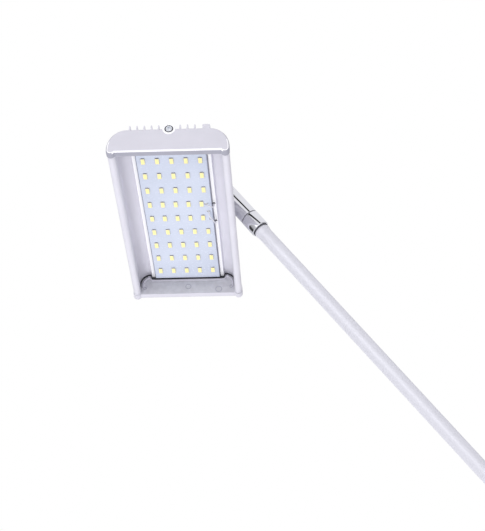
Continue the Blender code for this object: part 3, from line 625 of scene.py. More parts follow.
def make_housing(mats):
    """The extrusion, with painted highlight strips beside the board and fins painted darker as shade."""
    obj = extruded("housing_shell", housing_outline(), wall_low.y, wall_high.y)
    tools = []
    for end in (wall_low.y + PORT_DEPTH, wall_high.y + 1):
        tools.append(put(rod("port", SCREW_HOLE, 0, PORT_DEPTH + 1), ALONG_Y, shift(PORT[0], end, PORT[1])))
    tools += bracket_holes(FIN_TOP - 8, FIN_TOP + 2)
    for x, y in WIRE_ENDS.values():
        tools.append(put(rod("wire_hole", 0.95, PLATFORM_Z - 1, PLATFORM_Z + 19, 24), shift(x, y, 0)))
    carve(obj, tools)
    soften(obj, 0.25)
    add_slots(obj, mats, "housing", "rim_painted_highlight", "fins")
    # Strips beside the board get the painted highlight; the fins and rib above the back get the painted
    # shade.
    for polygon in obj.data.polygons:
        middle = polygon.center / MM
        strip = BOARD_EDGE + 1.0 < abs(middle.x) < PLATFORM_HALF + 0.3 and middle.z < PLATFORM_Z + 0.4
        if strip and polygon.normal.z < -0.5:
            polygon.material_index = 1
        elif middle.z > ROOT_Z + 0.4 and abs(middle.x - PORT[0]) > PORT_RADIUS + 0.3:
            polygon.material_index = 2
    finish(obj, "head", HEAD, None, ["heat_sink_housing"])


# A cap's slots: paint, inner casting, painted highlight, painted shade on the sides, the screw seat painted
# black as shade, and painted shade on the far rim.
CAP_SLOTS = ("cap", "casting", "rim_painted_highlight", "cap_shade_and_pin_marks", "nylon", "fins")
PAINT, CASTING, RIM_HIGHLIGHT, SIDE, SEAT, SHADE = range(6)


def cap_zone(middle, facing, outer, inner):
    """Which of a cap's materials a face gets, from its middle and direction, painted highlight and painted
    shade among them.
    """
    side = -1 if outer < inner else 1
    from_screw = math.hypot(middle.x - PORT[0], middle.z - PORT[1])
    # The screw's seat is painted black as shade in the recess.
    if from_screw < SEAT_RADIUS + 0.2 and side * (outer - middle.y) > 0.3:
        return SEAT
    # The boss round the seat gets the painted highlight.
    if from_screw < BOSS_RADIUS + 0.2 and side * (outer - middle.y) < 1.0:
        return RIM_HIGHLIGHT
    if abs(middle.y - inner) < 0.05 and abs(facing.y) > 0.9:
        return CASTING
    rounding = abs(facing.y)
    # On the far cap, the rounded rim low on its back is painted shade.
    if side > 0:
        return SHADE if 0.1 < rounding < 0.97 and facing.y > 0 and middle.z < EDGE_ZONE_Z else PAINT
    # On the near cap, the sides and feet get painted shade and the rounding that faces down gets a painted
    # highlight.
    at_end = abs(middle.x) > FOOT_ZONE_X
    if rounding < (0.85 if at_end else 0.3):
        return SIDE
    edge = 0.995 if at_end else 0.97
    return RIM_HIGHLIGHT if rounding < edge and facing.y < 0 and middle.z < EDGE_ZONE_Z else PAINT


def end_cap(name, outer, inner, mats, node):
    """A cast cap, its outer rim well rounded, with a screw boss and a lip inside the trough."""
    side = -1 if outer < inner else 1
    face = outer - side * 0.5
    rounds = (1.5, 0.5) if side < 0 else (0.5, 1.5)
    obj = extruded(name, cap_outline(), min(face, inner), max(face, inner), *rounds, segments=6)
    tilt = Matrix.Rotation(math.radians(90 * side), 4, "X")
    boss = turned("boss", [(0, 3, 0), (BOSS_RADIUS, 3, 0), (BOSS_RADIUS, 0, 1.3), (0, 0, 0)], 64)
    put(boss, tilt, shift(PORT[0], outer, PORT[1]))
    carve(obj, [boss], "UNION")
    seat = turned("seat", [(0, 1.2, 0), (SEAT_RADIUS, 1.2, 0), (SEAT_RADIUS, 0.35, 0),
                            (SEAT_RADIUS + 0.5, -0.3, 0), (0, -0.3, 0)], 64)
    hole = rod("hole", SCREW_HOLE, 1, CAP_THICK + 2)
    for tool in (seat, hole):
        put(tool, tilt, shift(PORT[0], outer, PORT[1]))
    carve(obj, [seat, hole])
    obj.data.materials.clear()
    add_slots(obj, mats, *CAP_SLOTS)
    for polygon in obj.data.polygons:
        polygon.material_index = cap_zone(polygon.center / MM, polygon.normal, outer, inner)
    finish(obj, "head", HEAD, None, [node])

    pads = []
    for x in (-RAIL_X, RAIL_X):
        end = min(inner, inner - side * GASKET_ROOM) + GASKET_ROOM
        pads.append(put(rod("foot_pad", RAIL_RADIUS, 0, GASKET_ROOM), ALONG_Y, shift(x, end, RAIL_Z)))
    finish(join(name + "_pads", pads), "head", HEAD, mats["housing"])

    inside = [point for point in inner_outline()[4:] if point[1] > RAIL_Z + 2]
    path = inside[::-1] + [(-x, z) for x, z in inside]
    middle = -SEAL_PROUD - LIP_HALF
    foot_y = inner + side * LIP_SINK
    section = [(middle - LIP_HALF, foot_y)]
    section += arc((middle, inner), (-LIP_HALF, -side * LIP_PROUD), 0, 180, 9)
    section.append((middle + LIP_HALF, foot_y))
    lip = swept(name + "_lip", path, section)
    finish(lip, "head", HEAD, mats["cap"])


PIN_MARKS = [(-38.0, -7.5, 1.3), (0.3, -6.5, 2.3), (27.0, -9.6, 2.7), (38.0, -7.0, 1.3)]


def make_caps(mats):
    """Both end caps, and the faint rings that the mould's pins left in the far one."""
    end_cap("cap_near", cap_low.y, cap_high.y, mats, "end_cap_front")
    end_cap("cap_far", rear_high.y, rear_low.y, mats, "end_cap_rear")
    marks = []
    for x, z, radius in PIN_MARKS:
        corners = [(radius - 0.3, -0.15, 0), (radius + 0.3, -0.15, 0), (radius + 0.2, 0.2, 0),
                   (radius - 0.2, 0.2, 0)]
        mark = turned("pin_mark", corners, 40, hollow=True)
        marks.append(put(mark, ALONG_Y, shift(x, rear_low.y, z)))
    # The pin marks take the dark coat that paints shade on the caps' sides.
    finish(join("cap_far_pin_marks", marks), "head", HEAD, mats["cap_shade_and_pin_marks"])


def seal_outline():
    """The seal stands a little proud of the trough's wall and ends above the rails."""
    side = [(BOARD_EDGE, PLATFORM_Z - SEAL_PROUD), (PLATFORM_HALF + 0.6, PLATFORM_Z - SEAL_PROUD)]
    radius = REFLECTOR_RADIUS - SEAL_PROUD / 2
    side += arc((REFLECTOR_X, REFLECTOR_Z), (radius, radius), 90, 0, 24)
    side.append((REFLECTOR_X + radius, RAIL_Z + RAIL_RADIUS + 0.4))
    side += shoulder_arc(10)
    return side + over_port(PORT_RADIUS, ROOT_Z, 20) + mirrored(side)


def make_gaskets(mats):
    for end in ("front", "rear"):
        node = "cap_gasket_" + end
        low, high = node_box(node, HEAD_ORIGIN)
        obj = extruded("seal_" + end, seal_outline(), low.y, high.y)
        hole = rod("gasket_hole", SCREW_HOLE, 0, high.y - low.y + 2)
        carve(obj, [put(hole, ALONG_Y, shift(PORT[0], high.y + 1, PORT[1]))])
        finish(obj, "head", HEAD, mats["rubber"], [node])


def phillips(name, length):
    """A pan-head screw with a cross recess: its head is under z = 0, its shank above."""
    obj = turned(name, [
        (0, -PAN_HEIGHT, 0), (PAN_RADIUS * 0.55, -PAN_HEIGHT, 0.6), (PAN_RADIUS, -PAN_HEIGHT * 0.45, 0.7),
        (PAN_RADIUS, 0, 0.12), (SHANK_RADIUS, 0, 0.1), (SHANK_RADIUS, length - 0.5, 0),
        (SHANK_RADIUS * 0.6, length, 0), (0, length, 0)], 48)
    slots = []
    for turn in (20, 110):
        slot = box("slot", (-1.75, -0.3, -PAN_HEIGHT - 1), (1.75, 0.3, -PAN_HEIGHT + 1.1))
        slots.append(put(slot, Matrix.Rotation(math.radians(turn), 4, "Z")))
    return carve(obj, slots)


def screw_along_y(name, node, sign, length, origin):
    """A screw on its CAD node, its head at the low end of Y (sign -1) or the high end (1)."""
    low, high = node_box(node, origin)
    seat = low.y + PAN_HEIGHT if sign < 0 else high.y - PAN_HEIGHT
    turn = Matrix.Rotation(math.radians(90 * sign), 4, "X")
    return put(phillips(name, length), turn, shift((low.x + high.x) / 2, seat, (low.z + high.z) / 2))


def make_screws(mats):
    """Every pan-head screw, placed on its CAD node."""
    for end, sign in (("front", -1), ("rear", 1)):
        node = "cap_screw_" + end
        obj = screw_along_y("screw_cap_" + end, node, sign, 14, HEAD_ORIGIN)
        finish(obj, "head", HEAD, mats["zinc"], [node])
    for i in (1, 2):
        node = "bracket_screw_%d" % i
        middle = node_middle(node, HEAD_ORIGIN)
        top = node_box(node, HEAD_ORIGIN)[1].z
        obj = put(phillips("screw_bracket_%d" % i, 9.5), UPSIDE_DOWN,
                  shift(middle.x, middle.y, top - PAN_HEIGHT))
        finish(obj, "head", HEAD, mats["steel"], [node])
    for i, sign in ((1, -1), (2, 1)):
        node = "cover_screw_%d" % i
        obj = screw_along_y("screw_cover_%d" % i, node, sign, 5, ORIGIN)
        finish(obj, "base", WORLD, mats["steel"], [node])


# --- LED board ---
def led_places():
    """The LEDs' middles, column by column along each row; two rows leave room for solder."""
    places = []
    for row in range(ROWS):
        pitch = SHORT_PITCH if row in SHORT_ROWS else COLUMN_PITCH
        for column in range(COLUMNS):
            x = -COLUMN_PITCH * (COLUMNS - 1) / 2 + pitch * column
            places.append((x, ROW_PITCH * (row - (ROWS - 1) / 2)))
    return places


def ring_of(bm, half, z, corner):
    """A rounded rectangle of vertices at a height."""
    points = rounded([(half[0], half[1], corner), (-half[0], half[1], corner),
                      (-half[0], -half[1], corner), (half[0], -half[1], corner)], True, 3)
    return [bm.verts.new((x, y, z)) for x, y in points]


def led_mesh(bm, x, y):
    """One package: a white body with a sunk, slightly domed yellow window."""
    rings = [
        ring_of(bm, LED_HALF, BOARD_FACE + 0.05, 0.15),
        ring_of(bm, LED_HALF, 0.12, 0.15),
        ring_of(bm, (LED_HALF[0] - 0.1, LED_HALF[1] - 0.1), 0.0, 0.15),
        ring_of(bm, WINDOW_HALF, 0.0, 0.3),
        ring_of(bm, (WINDOW_HALF[0] - 0.06, WINDOW_HALF[1] - 0.06), 0.12, 0.3),
    ]
    # The side walls get the painted shade.
    for wall in skin(bm, rings)[:len(rings[0])]:
        wall.material_index = 2
    bm.faces.new(rings[0])
    window = bm.faces.new(rings[-1])
    window.material_index = 1
    for ring in rings:
        bmesh.ops.translate(bm, verts=ring, vec=(x, y + LED_SHIFT, 0))


def make_leds(mats):
    """All LEDs as one piece, and the solder at both ends of each as another."""
    bm = bmesh.new()
    for x, y in led_places():
        led_mesh(bm, x, y)
    obj = new_object("led_packages", bm)
    add_slots(obj, mats, "led_body", "phosphor_painted_glow", "led_wall_painted_shade")
    finish(obj, "head", HEAD, None)

    joints = []
    for x, y in led_places():
        for side in (-1, 1):
            middle = y + LED_SHIFT + side * (LED_HALF[1] + SOLDER_HALF[1])
            low = (x - SOLDER_HALF[0], middle - SOLDER_HALF[1], BOARD_FACE - 0.14)
            high = (x + SOLDER_HALF[0], middle + SOLDER_HALF[1], BOARD_FACE + 0.1)
            joints.append(box("solder_joint", low, high, 0.08, 2))
    finish(join("led_solder_joints", joints), "head", HEAD, mats["solder"])


def make_board(mats):
    """The board with its rounded edge painted dark as shade, and the CAD's pad behind it."""
    corners = [(pcb_high.x, pcb_high.y, 1.0), (pcb_low.x, pcb_high.y, 1.0),
               (pcb_low.x, pcb_low.y, 1.0), (pcb_high.x, pcb_low.y, 1.0)]
    outline = [(x, y, BOARD_FACE) for x, y in rounded(corners, True, 6)]
    obj = new_object("circuit_board", prism(outline, (0, 0, pcb_high.z - BOARD_FACE)))
    soften(obj, 0.6)
    add_slots(obj, mats, "mask", "board_edge_painted_shade")
    for polygon in obj.data.polygons:
        # The face keeps the mask; the rounded edge and sides are painted dark as shade.
        polygon.material_index = 0 if polygon.normal.z < -0.97 else 1
    finish(obj, "head", HEAD, None, ["led_board"])
    recoat("thermal_pad", mats["pad"])


TUBE_SIDES = 16
WIRE_RADIUS = 0.55
WIRE_ENDS = {"plus": (29.7, -16.0), "minus": (29.8, 9.0)}
WIRES = {
    "plus": [(24.2, -18.8, 0.15), (25.0, -19.2, -1.1), (27.0, -18.2, -1.6), (29.0, -16.6, -0.8),
             (29.7, -16.0, 1.6), (29.7, -16.0, 12.0)],
    "minus": [(25.4, -8.6, 0.15), (25.2, -5.6, -1.2), (26.2, -2.4, -1.7), (27.8, 1.6, -1.3),
              (29.4, 6.6, -0.6), (29.8, 9.0, 1.8), (29.8, 9.0, 12.0)],
}


def smooth_route(route, steps):
    """Catmull-Rom points through a route."""
    route = [Vector(point) for point in route]
    padded = [route[0] * 2 - route[1], *route, route[-1] * 2 - route[-2]]
    points = []
    for a, b, c, d in zip(padded, padded[1:], padded[2:], padded[3:]):
        for i in range(steps):
            t = i / steps
            cubic = (3 * b - 3 * c + d - a) * t ** 3
            square = (2 * a - 5 * b + 4 * c - d) * t ** 2
            points.append((cubic + square + (c - a) * t + 2 * b) / 2)
    return points + [route[-1]]


def tube(name, points, radius):
    """A closed round tube along points in millimetres."""
    bm = bmesh.new()
    rings = []
    angles = [2 * math.pi * k / TUBE_SIDES for k in range(TUBE_SIDES)]
    tangent = (points[1] - points[0]).normalized()
    normal = tangent.orthogonal().normalized()
    for i, point in enumerate(points):
        ahead = points[min(i + 1, len(points) - 1)] - points[max(i - 1, 0)]
        turn = tangent.rotation_difference(ahead.normalized())
        tangent = ahead.normalized()
        normal = (turn @ normal).normalized()
        other = tangent.cross(normal)
        offsets = [(normal * math.cos(angle) + other * math.sin(angle)) * radius for angle in angles]
        rings.append([bm.verts.new(point + offset) for offset in offsets])
    skin(bm, rings, capped=True)
    return new_object(name, bm)


def make_leads(mats):
    """Both leads with their solder and grommets, and the eyelet between them."""
    blobs = []
    for label, route in WIRES.items():
        obj = tube("lead_" + label, smooth_route(route, 8), WIRE_RADIUS)
        finish(obj, "head", HEAD, mats["wire"], ["lead_wire_" + label])
        x, y, _ = route[0]
        corners = [(0, -1.0, 0), (0.8, -0.8, 0.35), (1.35, 0.0, 0), (0, 0.0, 0)]
        blob = turned("blob_" + label, corners, 24)
        blobs.append(put(blob, Matrix.Diagonal((1.25, 0.9, 1, 1)), shift(x - 0.5, y, BOARD_FACE)))
    finish(join("lead_solder", blobs), "head", HEAD, mats["solder"])
    for label, (x, y) in WIRE_ENDS.items():
        corners = [(0.58, -0.35, 0.1), (1.2, -0.35, 0.15), (1.2, 0.0, 0), (0.9, 0.0, 0), (0.9, 1.2, 0),
                   (0.58, 1.2, 0)]
        grommet = put(turned("grommet_" + label, corners, 32, hollow=True), shift(x, y, PLATFORM_Z - 0.02))
        finish(grommet, "head", HEAD, mats["nylon"])
    eyelet = ring("board_eyelet", 0.75, 1.2, -0.25, 0.1, (0.08, 0.08, 0, 0), 40)
    finish(put(eyelet, shift(25.6, 3.0, BOARD_FACE)), "head", HEAD, mats["steel"])


# --- pivot, knuckle and arm ---
def add_ears(obj, outline):
    """Join a front and a rear ear of an (X, Z) outline to a piece."""
    ears = [extruded("ear", outline, start, start + EAR_OUTER - EAR_INNER, 0.5, 0.5)
            for start in (-EAR_OUTER, EAR_INNER)]
    return carve(obj, ears, "UNION")


def make_bracket(mats):
    """A foot screwed to the housing's rib, and two ears for the cross bolt."""
    low, high = node_box("pivot_bracket", HEAD_ORIGIN)
    foot_top = low.z + 3.0
    bracket = box("mount_bracket", low, (31.9, high.y, foot_top), 0.7)
    pivot_x, pivot_z = PIVOT_IN_HEAD
    ear = [(low.x + 2, low.z + 0.5), (31.5, low.z + 0.5)]
    ear += arc(PIVOT_IN_HEAD, (EAR_RADIUS, EAR_RADIUS), -90, 90, 28)
    ear.append((pivot_x - 12, pivot_z + EAR_RADIUS))
    add_ears(bracket, ear)
    hole = put(rod("pivot_hole", BOLT_HOLE, -13, 13), ALONG_Y, shift(pivot_x, 0, pivot_z))
    carve(bracket, [hole, *bracket_holes(low.z - 1, foot_top + 1)])
    finish(bracket, "head", HEAD, mats["housing"], ["pivot_bracket"])


def hexagon(name, corner, start, end, bore=0):
    """A hexagonal bar or nut with its corners turned down."""
    angles = [math.radians(60 * i) for i in range(6)]
    outline = [(corner * math.cos(a), corner * math.sin(a), start) for a in angles]
    obj = new_object(name, prism(outline, (0, 0, end - start)))
    flat = corner * 0.88
    cone = turned("chamfer", [(0, start, 0), (flat, start, 0), (corner + 0.1, start + 0.8, 0),
                              (corner + 0.1, end - 0.8, 0), (flat, end, 0), (0, end, 0)], 64)
    carve(obj, [cone], "INTERSECT")
    if bore:
        carve(obj, [rod("bore", bore, start - 1, end + 1)])
    return obj


def make_pivot(prefix, outer_body, inner_body, pivot, mats):
    """Cross bolt with a socket head, locking nut and the two friction washers."""
    place = Matrix.Translation(pivot) @ ALONG_Y
    seat = EAR_OUTER + 0.3
    end = 2 * seat + 6.5
    bolt = turned(prefix + "_bolt", [
        (0, -3.2, 0), (4.2, -3.2, 0.9), (4.2, 0, 0.15), (2.5, 0, 0.1), (2.5, end - 0.5, 0),
        (2.0, end, 0), (0, end, 0)], 64)
    carve(bolt, [hexagon("socket", 1.75, -4, -1.4)])
    put(bolt, shift(0, 0, -seat))
    finish(bolt, outer_body, place, mats["steel"], [prefix + "_pivot_bolt"])

    nut = hexagon(prefix + "_nut", 4.55, 0, 3.4, 2.55)
    carve(nut, [ring("collar", 2.55, 3.6, 3.2, 4.5, (0, 0, 0.5, 0.2), 48)], "UNION")
    put(nut, shift(0, 0, seat))
    finish(nut, outer_body, place, mats["steel"], [prefix + "_pivot_nut"])
    for label in ("front", "rear"):
        node = "%s_washer_%s" % (prefix, label)
        name = "%s_friction_%s" % (prefix, label)
        washer = ring(name, BOLT_HOLE, 6.4, -0.5, 0.5, (0.12, 0.2, 0.2, 0.12), 64)
        put(washer, shift(0, 0, -node_middle(node, pivot).y))
        finish(washer, inner_body, place, mats["nylon"], [node])


def shape_tongue(obj):
    """Give a round bar's pivot end its round nose, two flats and the bolt hole."""
    nose = arc((0, 0), (7.6, 7.6), 180, 360, 40)
    outline = nose + [(9.5, 2), (9.5, 60), (-9.5, 60), (-9.5, 2)]
    carve(obj, [extruded("envelope", outline, -10, 10)], "INTERSECT")
    flats = [box("flat_front", (-10, -10, -10), (10, -TONGUE_HALF, 10)),
             box("flat_rear", (-10, TONGUE_HALF, -10), (10, 10, 10))]
    return carve(obj, flats + [put(rod("bolt_hole", BOLT_HOLE, -10, 10), ALONG_Y)])


def make_knuckle(mats):
    """The chrome knuckle's halves, the rings between them and the arm's two set screws."""
    end = SEAM - SEAM_HALF
    upper = turned("knuckle_top", [
        (0, -7.7, 0), (7.7, -7.7, 0), (7.7, end, 0.15), (4.2, end, 0.1), (4.2, SEAM + 7.2, 0.3),
        (CABLE_BORE, SEAM + 7.2, 0.2), (CABLE_BORE, TONGUE_LENGTH, 0), (0, TONGUE_LENGTH, 0)], 128)
    shape_tongue(upper)
    soften(upper, TONGUE_EDGE, 3)
    finish(upper, "knuckle", ARM, mats["chrome"], ["knuckle_upper"])

    start = SEAM + SEAM_HALF
    top = reach("knuckle_lower", HEAD_PIVOT, ARM_DIR)[1]
    lower = turned("knuckle_bottom", [
        (4.6, start, 0.1), (BAR_RADIUS, start, 0.2), (BAR_RADIUS, top, 0.6), (6.35, top, 0.15),
        (6.35, SEAM + 4.4, 0), (4.6, SEAM + 4.4, 0)], 128, hollow=True)
    carve(lower, [put(rod("screw_hole", 1.7, -10, -6.1), ALONG_Y, shift(0, 0, UPPER_SCREW))])
    finish(lower, "arm", ARM, mats["chrome"], ["knuckle_lower"])

    swivel = ring("swivel_ring", 4.7, 7.5, SEAM - 0.3, SEAM + 0.3, (0, 0.1, 0.1, 0), 96)
    finish(swivel, "arm", ARM, mats["ring"], ["swivel_friction_ring"])
    retainer = ring("retainer_ring", 4.5, 5.9, SEAM + 4.9, SEAM + 6.5, (0.1, 0.1, 0.2, 0.1), 64)
    finish(retainer, "knuckle", ARM, mats["steel"], ["swivel_retainer"])
    for label, along in (("upper", UPPER_SCREW), ("lower", LOWER_SCREW)):
        corners = [(0, 0, 0), (1.45, 0, 0.15), (1.45, 1.8, 0.15), (0, 1.8, 0)]
        screw = turned("grub_screw_" + label, corners, 32)
        carve(screw, [hexagon("socket", 0.85, -1, 0.8)])
        put(screw, ALONG_Y, shift(0, 8.1, along))
        finish(screw, "arm", ARM, mats["steel"], ["tube_set_screw_" + label])


def make_arm(mats):
    """The tube with a bead below the knuckle, its seal, and the lower fitting."""
    start, end = reach("arm_tube", HEAD_PIVOT, ARM_DIR)
    bead = reach("knuckle_lower", HEAD_PIVOT, ARM_DIR)[1] + 1.5
    pipe = turned("arm_pipe", [
        (TUBE_RADIUS, start, 0.3), (TUBE_RADIUS, bead, 0), (6.55, bead + 0.15, 0.1),
        (6.6, bead + 1.0, 0), (6.48, bead + 2.2, 0), (6.18, bead + 4.0, 0),
        (TUBE_RADIUS, bead + 5.6, 0), (TUBE_RADIUS, end, 0.3), (5.0, end, 0.3), (5.0, start, 0.3)],
        128, hollow=True)
    finish(pipe, "arm", ARM, mats["satin"], ["arm_tube"], own_axes=True)
    low = reach("tube_seal_ring", HEAD_PIVOT, ARM_DIR)[0]
    seal = ring("seal_ring", 6.3, 6.8, low, low + 0.6, (0.1, 0.1, 0.2, 0.1), 96)
    finish(seal, "arm", ARM, mats["rubber"], ["tube_seal_ring"])
    recoat("power_cable", mats["rubber"])

    floor = ARM_SPAN - end - 1
    foot = turned("arm_socket", [
        (0, -BAR_RADIUS, 0), (BAR_RADIUS, -BAR_RADIUS, 0), (BAR_RADIUS, SOCKET_LENGTH, 0.6),
        (6.3, SOCKET_LENGTH, 0.15), (6.3, floor, 0), (CABLE_BORE, floor, 0),
        (CABLE_BORE, TONGUE_LENGTH, 0), (0, TONGUE_LENGTH, 0)], 128)
    shape_tongue(foot)
    carve(foot, [put(rod("screw_hole", 1.8, 0, 3.0), ALONG_Y, shift(0, 9.0, SCREW_IN_FOOT))])
    soften(foot, TONGUE_EDGE, 3)
    finish(foot, "arm", FOOT, mats["chrome"], ["arm_foot"])


# --- base ---
def make_base(mats):
    """The wall plate and the round cover that two screws hold on its ring."""
    screw_x = node_middle("cover_screw_1").x
    gland_x = node_middle("cable_gland").x
    ring_out = COVER_RADIUS - COVER_WALL - 0.3
    ring_in = ring_out - RING_WALL
    plate = turned("wall_plate", [
        (0, -PLATE_THICK, 0), (ring_in, -PLATE_THICK, 0), (ring_in, -RING_HEIGHT, 0.3),
        (ring_out, -RING_HEIGHT, 0.3), (ring_out, -PLATE_THICK, 0), (PLATE_RADIUS, -PLATE_THICK, 1.4),
        (PLATE_RADIUS, 0, 0.3), (0, 0, 0)], 128)
    holes = []
    for i in range(4):
        angle = math.radians(45 + 90 * i)
        corners = [(0, -5.3, 0), (3.6, -5.3, 0), (2.3, -4.0, 0), (2.3, 1, 0), (0, 1, 0)]
        hole = turned("plate_hole", corners, 48)
        holes.append(put(hole, shift(HOLE_CIRCLE * math.cos(angle), HOLE_CIRCLE * math.sin(angle), 0)))
    carve(plate, holes)
    carve(plate, [put(rod("ring_hole", SCREW_HOLE, -40, 40), ALONG_Y, shift(0, 0, screw_x))])
    finish(plate, "base", BASE, mats["base"], ["base_plate"])

    low, high = node_box("base_housing")
    inner = COVER_RADIUS - COVER_WALL
    cover = turned("base_cover", [
        (6.4, low.x, 0.5), (COVER_RADIUS, low.x, 4.5), (COVER_RADIUS, high.x, 0.3), (inner, high.x, 0.2),
        (inner, low.x + 3, 0.5), (6.4, low.x + 3, 0)], 128, hollow=True, steps=8)
    holes = [put(rod("side_hole", SCREW_HOLE, -40, 40), ALONG_Y, shift(0, 0, screw_x))]
    holes.append(put(rod("gland_hole", 5.3, 20, 40), ALONG_X, shift(0, 0, gland_x)))
    carve(cover, holes)
    finish(cover, "base", BASE, mats["base"], ["base_housing"])


def make_terminals(mats):
    low, high = node_box("terminal_block")
    block = box("terminals", low, high, 0.4)
    holes = [put(rod("clamp_hole", 1.6, 5, 20, 24), shift((low.x + high.x) / 2, y, 7)) for y in (-4.5, 4.5)]
    carve(block, holes)
    finish(block, "base", WORLD, mats["plastic"], ["terminal_block"])


def make_gland(mats):
    """A cable gland that points down, with a grooved cap."""
    gland = turned("gland_body", [
        (GLAND_BORE, -25.6, 0), (GLAND_BORE, -40.5, 0.4), (4.6, -40.5, 0.5), (6.0, -38.0, 0.5),
        (6.0, -33.6, 0), (7.2, -33.6, 0.3), (7.2, -28.4, 0.3), (5.0, -28.4, 0), (5.0, -25.6, 0)],
        96, hollow=True)
    grooves = []
    for i in range(GLAND_GROOVES):
        angle = 2 * math.pi * i / GLAND_GROOVES
        groove = rod("groove", 0.55, -37.6, -34.4, 12)
        grooves.append(put(groove, shift(6.15 * math.cos(angle), 6.15 * math.sin(angle), 0)))
    carve(gland, grooves)
    put(gland, shift(node_middle("cable_gland").x, 0, 0))
    finish(gland, "base", WORLD, mats["nylon"], ["cable_gland"])


def make_yoke(mats):
    """The swivelling yoke, with the washer and nut that hold it in the cover."""
    top = node_box("base_yoke")[1].x
    washer_low, washer_high = node_box("base_swivel_washer")
    nut_low, nut_high = node_box("base_swivel_nut")
    back = washer_low.x - 0.3
    front = back - 4.4
    yoke = turned("swivel_yoke", [
        (CABLE_BORE, front, 0.3), (14.0, front, 0.9), (14.0, back, 0.3), (6.0, back, 0), (6.0, top, 0.4),
        (CABLE_BORE, top, 0.2)], 128, hollow=True)
    put(yoke, ALONG_X)
    pivot_x = BASE_PIVOT.x / MM
    ear = arc((pivot_x, 0), (EAR_RADIUS, EAR_RADIUS), 90, 270, 32)
    ear += [(front + 0.5, -EAR_RADIUS), (front + 0.5, EAR_RADIUS)]
    add_ears(yoke, ear)
    carve(yoke, [put(rod("pivot_hole", BOLT_HOLE, -13, 13), ALONG_Y, shift(pivot_x, 0, 0))])
    finish(yoke, "yoke", WORLD, mats["chrome"], ["base_yoke"])

    washer = ring("swivel_washer", 6.4, 12, washer_low.x, washer_high.x, (0.1, 0.25, 0.25, 0.1), 96)
    finish(washer, "yoke", BASE, mats["nylon"], ["base_swivel_washer"])
    nut = hexagon("swivel_nut", 10.4, nut_low.x, nut_high.x, 6.3)
    finish(nut, "yoke", BASE, mats["steel"], ["base_swivel_nut"])


# --- studio ---
CAMERA_LENS = 111.86
CAMERA_PLACE = Vector((110.32, -1127.07, -776.88)) * MM
CAMERA_TURN = (122.855, -0.270, 2.751)
ROOM_STRENGTH = 0.88
SIDE_SPAN = (0.55, 0.98)
SIDE_STRENGTH = 0.45
BAND_HEIGHT = math.radians(33)
BAND_SPAN = (math.radians(4.5), math.radians(4.5) + 0.05)
BAND_STRENGTH = 0.02
DARK_CORNER = (-0.959, 0.252, -0.131)
CORNER_SPAN = (0.93, 0.965)
CORNER_STRENGTH = 0.12
FLOOR_DEPTH = 1.4


def make_camera():
    """The camera stands in front of the lamp, well below it, and looks up at the LEDs."""
    data = bpy.data.cameras.new("camera")
    data.sensor_width = 36.0
    data.lens = CAMERA_LENS
    data.clip_start = 0.05
    data.clip_end = 50
    camera = bpy.data.objects.new("camera", data)
    bpy.context.scene.collection.objects.link(camera)
    turn = Euler([math.radians(angle) for angle in CAMERA_TURN]).to_matrix().to_4x4()
    camera.matrix_world = Matrix.Translation(HEAD_ORIGIN + CAMERA_PLACE) @ turn
    bpy.context.scene.camera = camera


def area_light(name, offset, size, energy, glossy=True):
    """A square light that faces the head, a stretch away from it in metres."""
    data = bpy.data.lights.new(name, "AREA")
    data.size = size
    data.energy = energy
    light = bpy.data.objects.new(name, data)
    bpy.context.scene.collection.objects.link(light)
    light.visible_camera = False
    light.visible_glossy = glossy
    light.location = HEAD_ORIGIN + Vector(offset)
    light.rotation_euler = (-Vector(offset)).to_track_quat("-Z", "Y").to_euler()


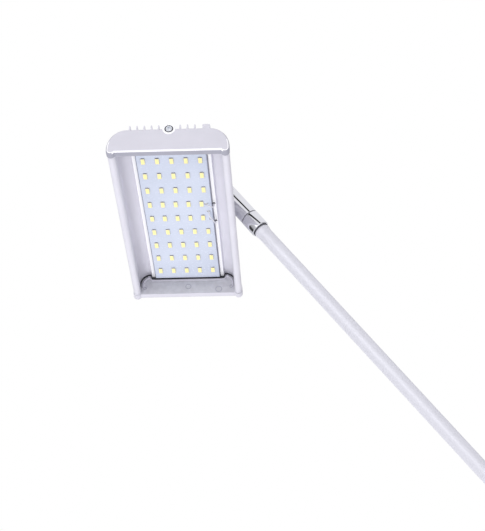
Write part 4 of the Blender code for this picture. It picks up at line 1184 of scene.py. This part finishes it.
def make_world():
    """White behind the lamp; round it a white room with darker sides and a dark band up in front."""
    world = bpy.data.worlds.new("studio")
    bpy.context.scene.world = world
    world.use_nodes = True
    tree = world.node_tree
    tree.nodes.clear()

    def add(kind, *sources, **settings):
        return add_node(tree, kind, dict(enumerate(sources)), **settings)

    def maths(operation, *sources):
        return add("ShaderNodeMath", *sources, operation=operation).outputs[0]

    def fade(source, span, before, after):
        return add("ShaderNodeMapRange", source, *span, before, after).outputs[0]

    way = add("ShaderNodeTexCoord").outputs["Generated"]
    x, y, z = add("ShaderNodeSeparateXYZ", way).outputs
    side = fade(maths("ABSOLUTE", x), SIDE_SPAN, 1.0, SIDE_STRENGTH)
    height = maths("ARCTAN2", z, maths("MULTIPLY", y, -1.0))
    from_band = maths("ABSOLUTE", maths("SUBTRACT", height, BAND_HEIGHT))
    band = fade(from_band, BAND_SPAN, BAND_STRENGTH, 1.0)
    to_corner = add("ShaderNodeVectorMath", way, DARK_CORNER, operation="DOT_PRODUCT").outputs[1]
    corner = fade(to_corner, CORNER_SPAN, 1.0, CORNER_STRENGTH)
    strength = maths("MULTIPLY", maths("MULTIPLY", side, band), corner)
    strength = maths("MULTIPLY", strength, ROOM_STRENGTH)
    seen = add("ShaderNodeBackground", (1, 1, 1, 1))
    room = add("ShaderNodeBackground", (0.975, 0.97, 1.0, 1), strength)
    path = add("ShaderNodeLightPath")
    mix = add("ShaderNodeMixShader", path.outputs["Is Camera Ray"], room.outputs[0], seen.outputs[0])
    add("ShaderNodeOutputWorld", mix.outputs[0])


def make_stage(mats):
    """A wide pale floor, the room and three soft lights."""
    bm = bmesh.new()
    bmesh.ops.create_circle(bm, cap_ends=True, segments=96, radius=6000)
    floor = new_object("floor", bm)
    floor.location = (0, 0, -FLOOR_DEPTH)
    floor.data.materials.append(mats["floor"])
    floor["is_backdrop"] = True
    bpy.context.scene.view_settings.view_transform = "Standard"
    make_world()
    area_light("key", (-0.35, 0.45, -1.15), 0.5, 6, glossy=False)
    area_light("front", (-0.5, -1.3, -0.2), 0.9, 6)
    area_light("fill", (1.2, -0.6, -0.9), 0.8, 2)


def write_sizes():
    boxes = {"cad": cad_box, "visual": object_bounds()}
    boxes = {name: [list(corner) for corner in corners] for name, corners in boxes.items()}


def main():
    """The studio first, then the lamp from its head to its base."""
    mats = make_materials()
    make_camera()
    make_stage(mats)
    make_housing(mats)
    make_caps(mats)
    make_gaskets(mats)
    make_screws(mats)
    make_leds(mats)
    make_board(mats)
    make_leads(mats)
    make_bracket(mats)
    make_pivot("head", "head", "knuckle", HEAD_PIVOT, mats)
    make_pivot("base", "yoke", "arm", BASE_PIVOT, mats)
    make_knuckle(mats)
    make_arm(mats)
    make_base(mats)
    make_gland(mats)
    make_terminals(mats)
    make_yoke(mats)
    write_sizes()


main()
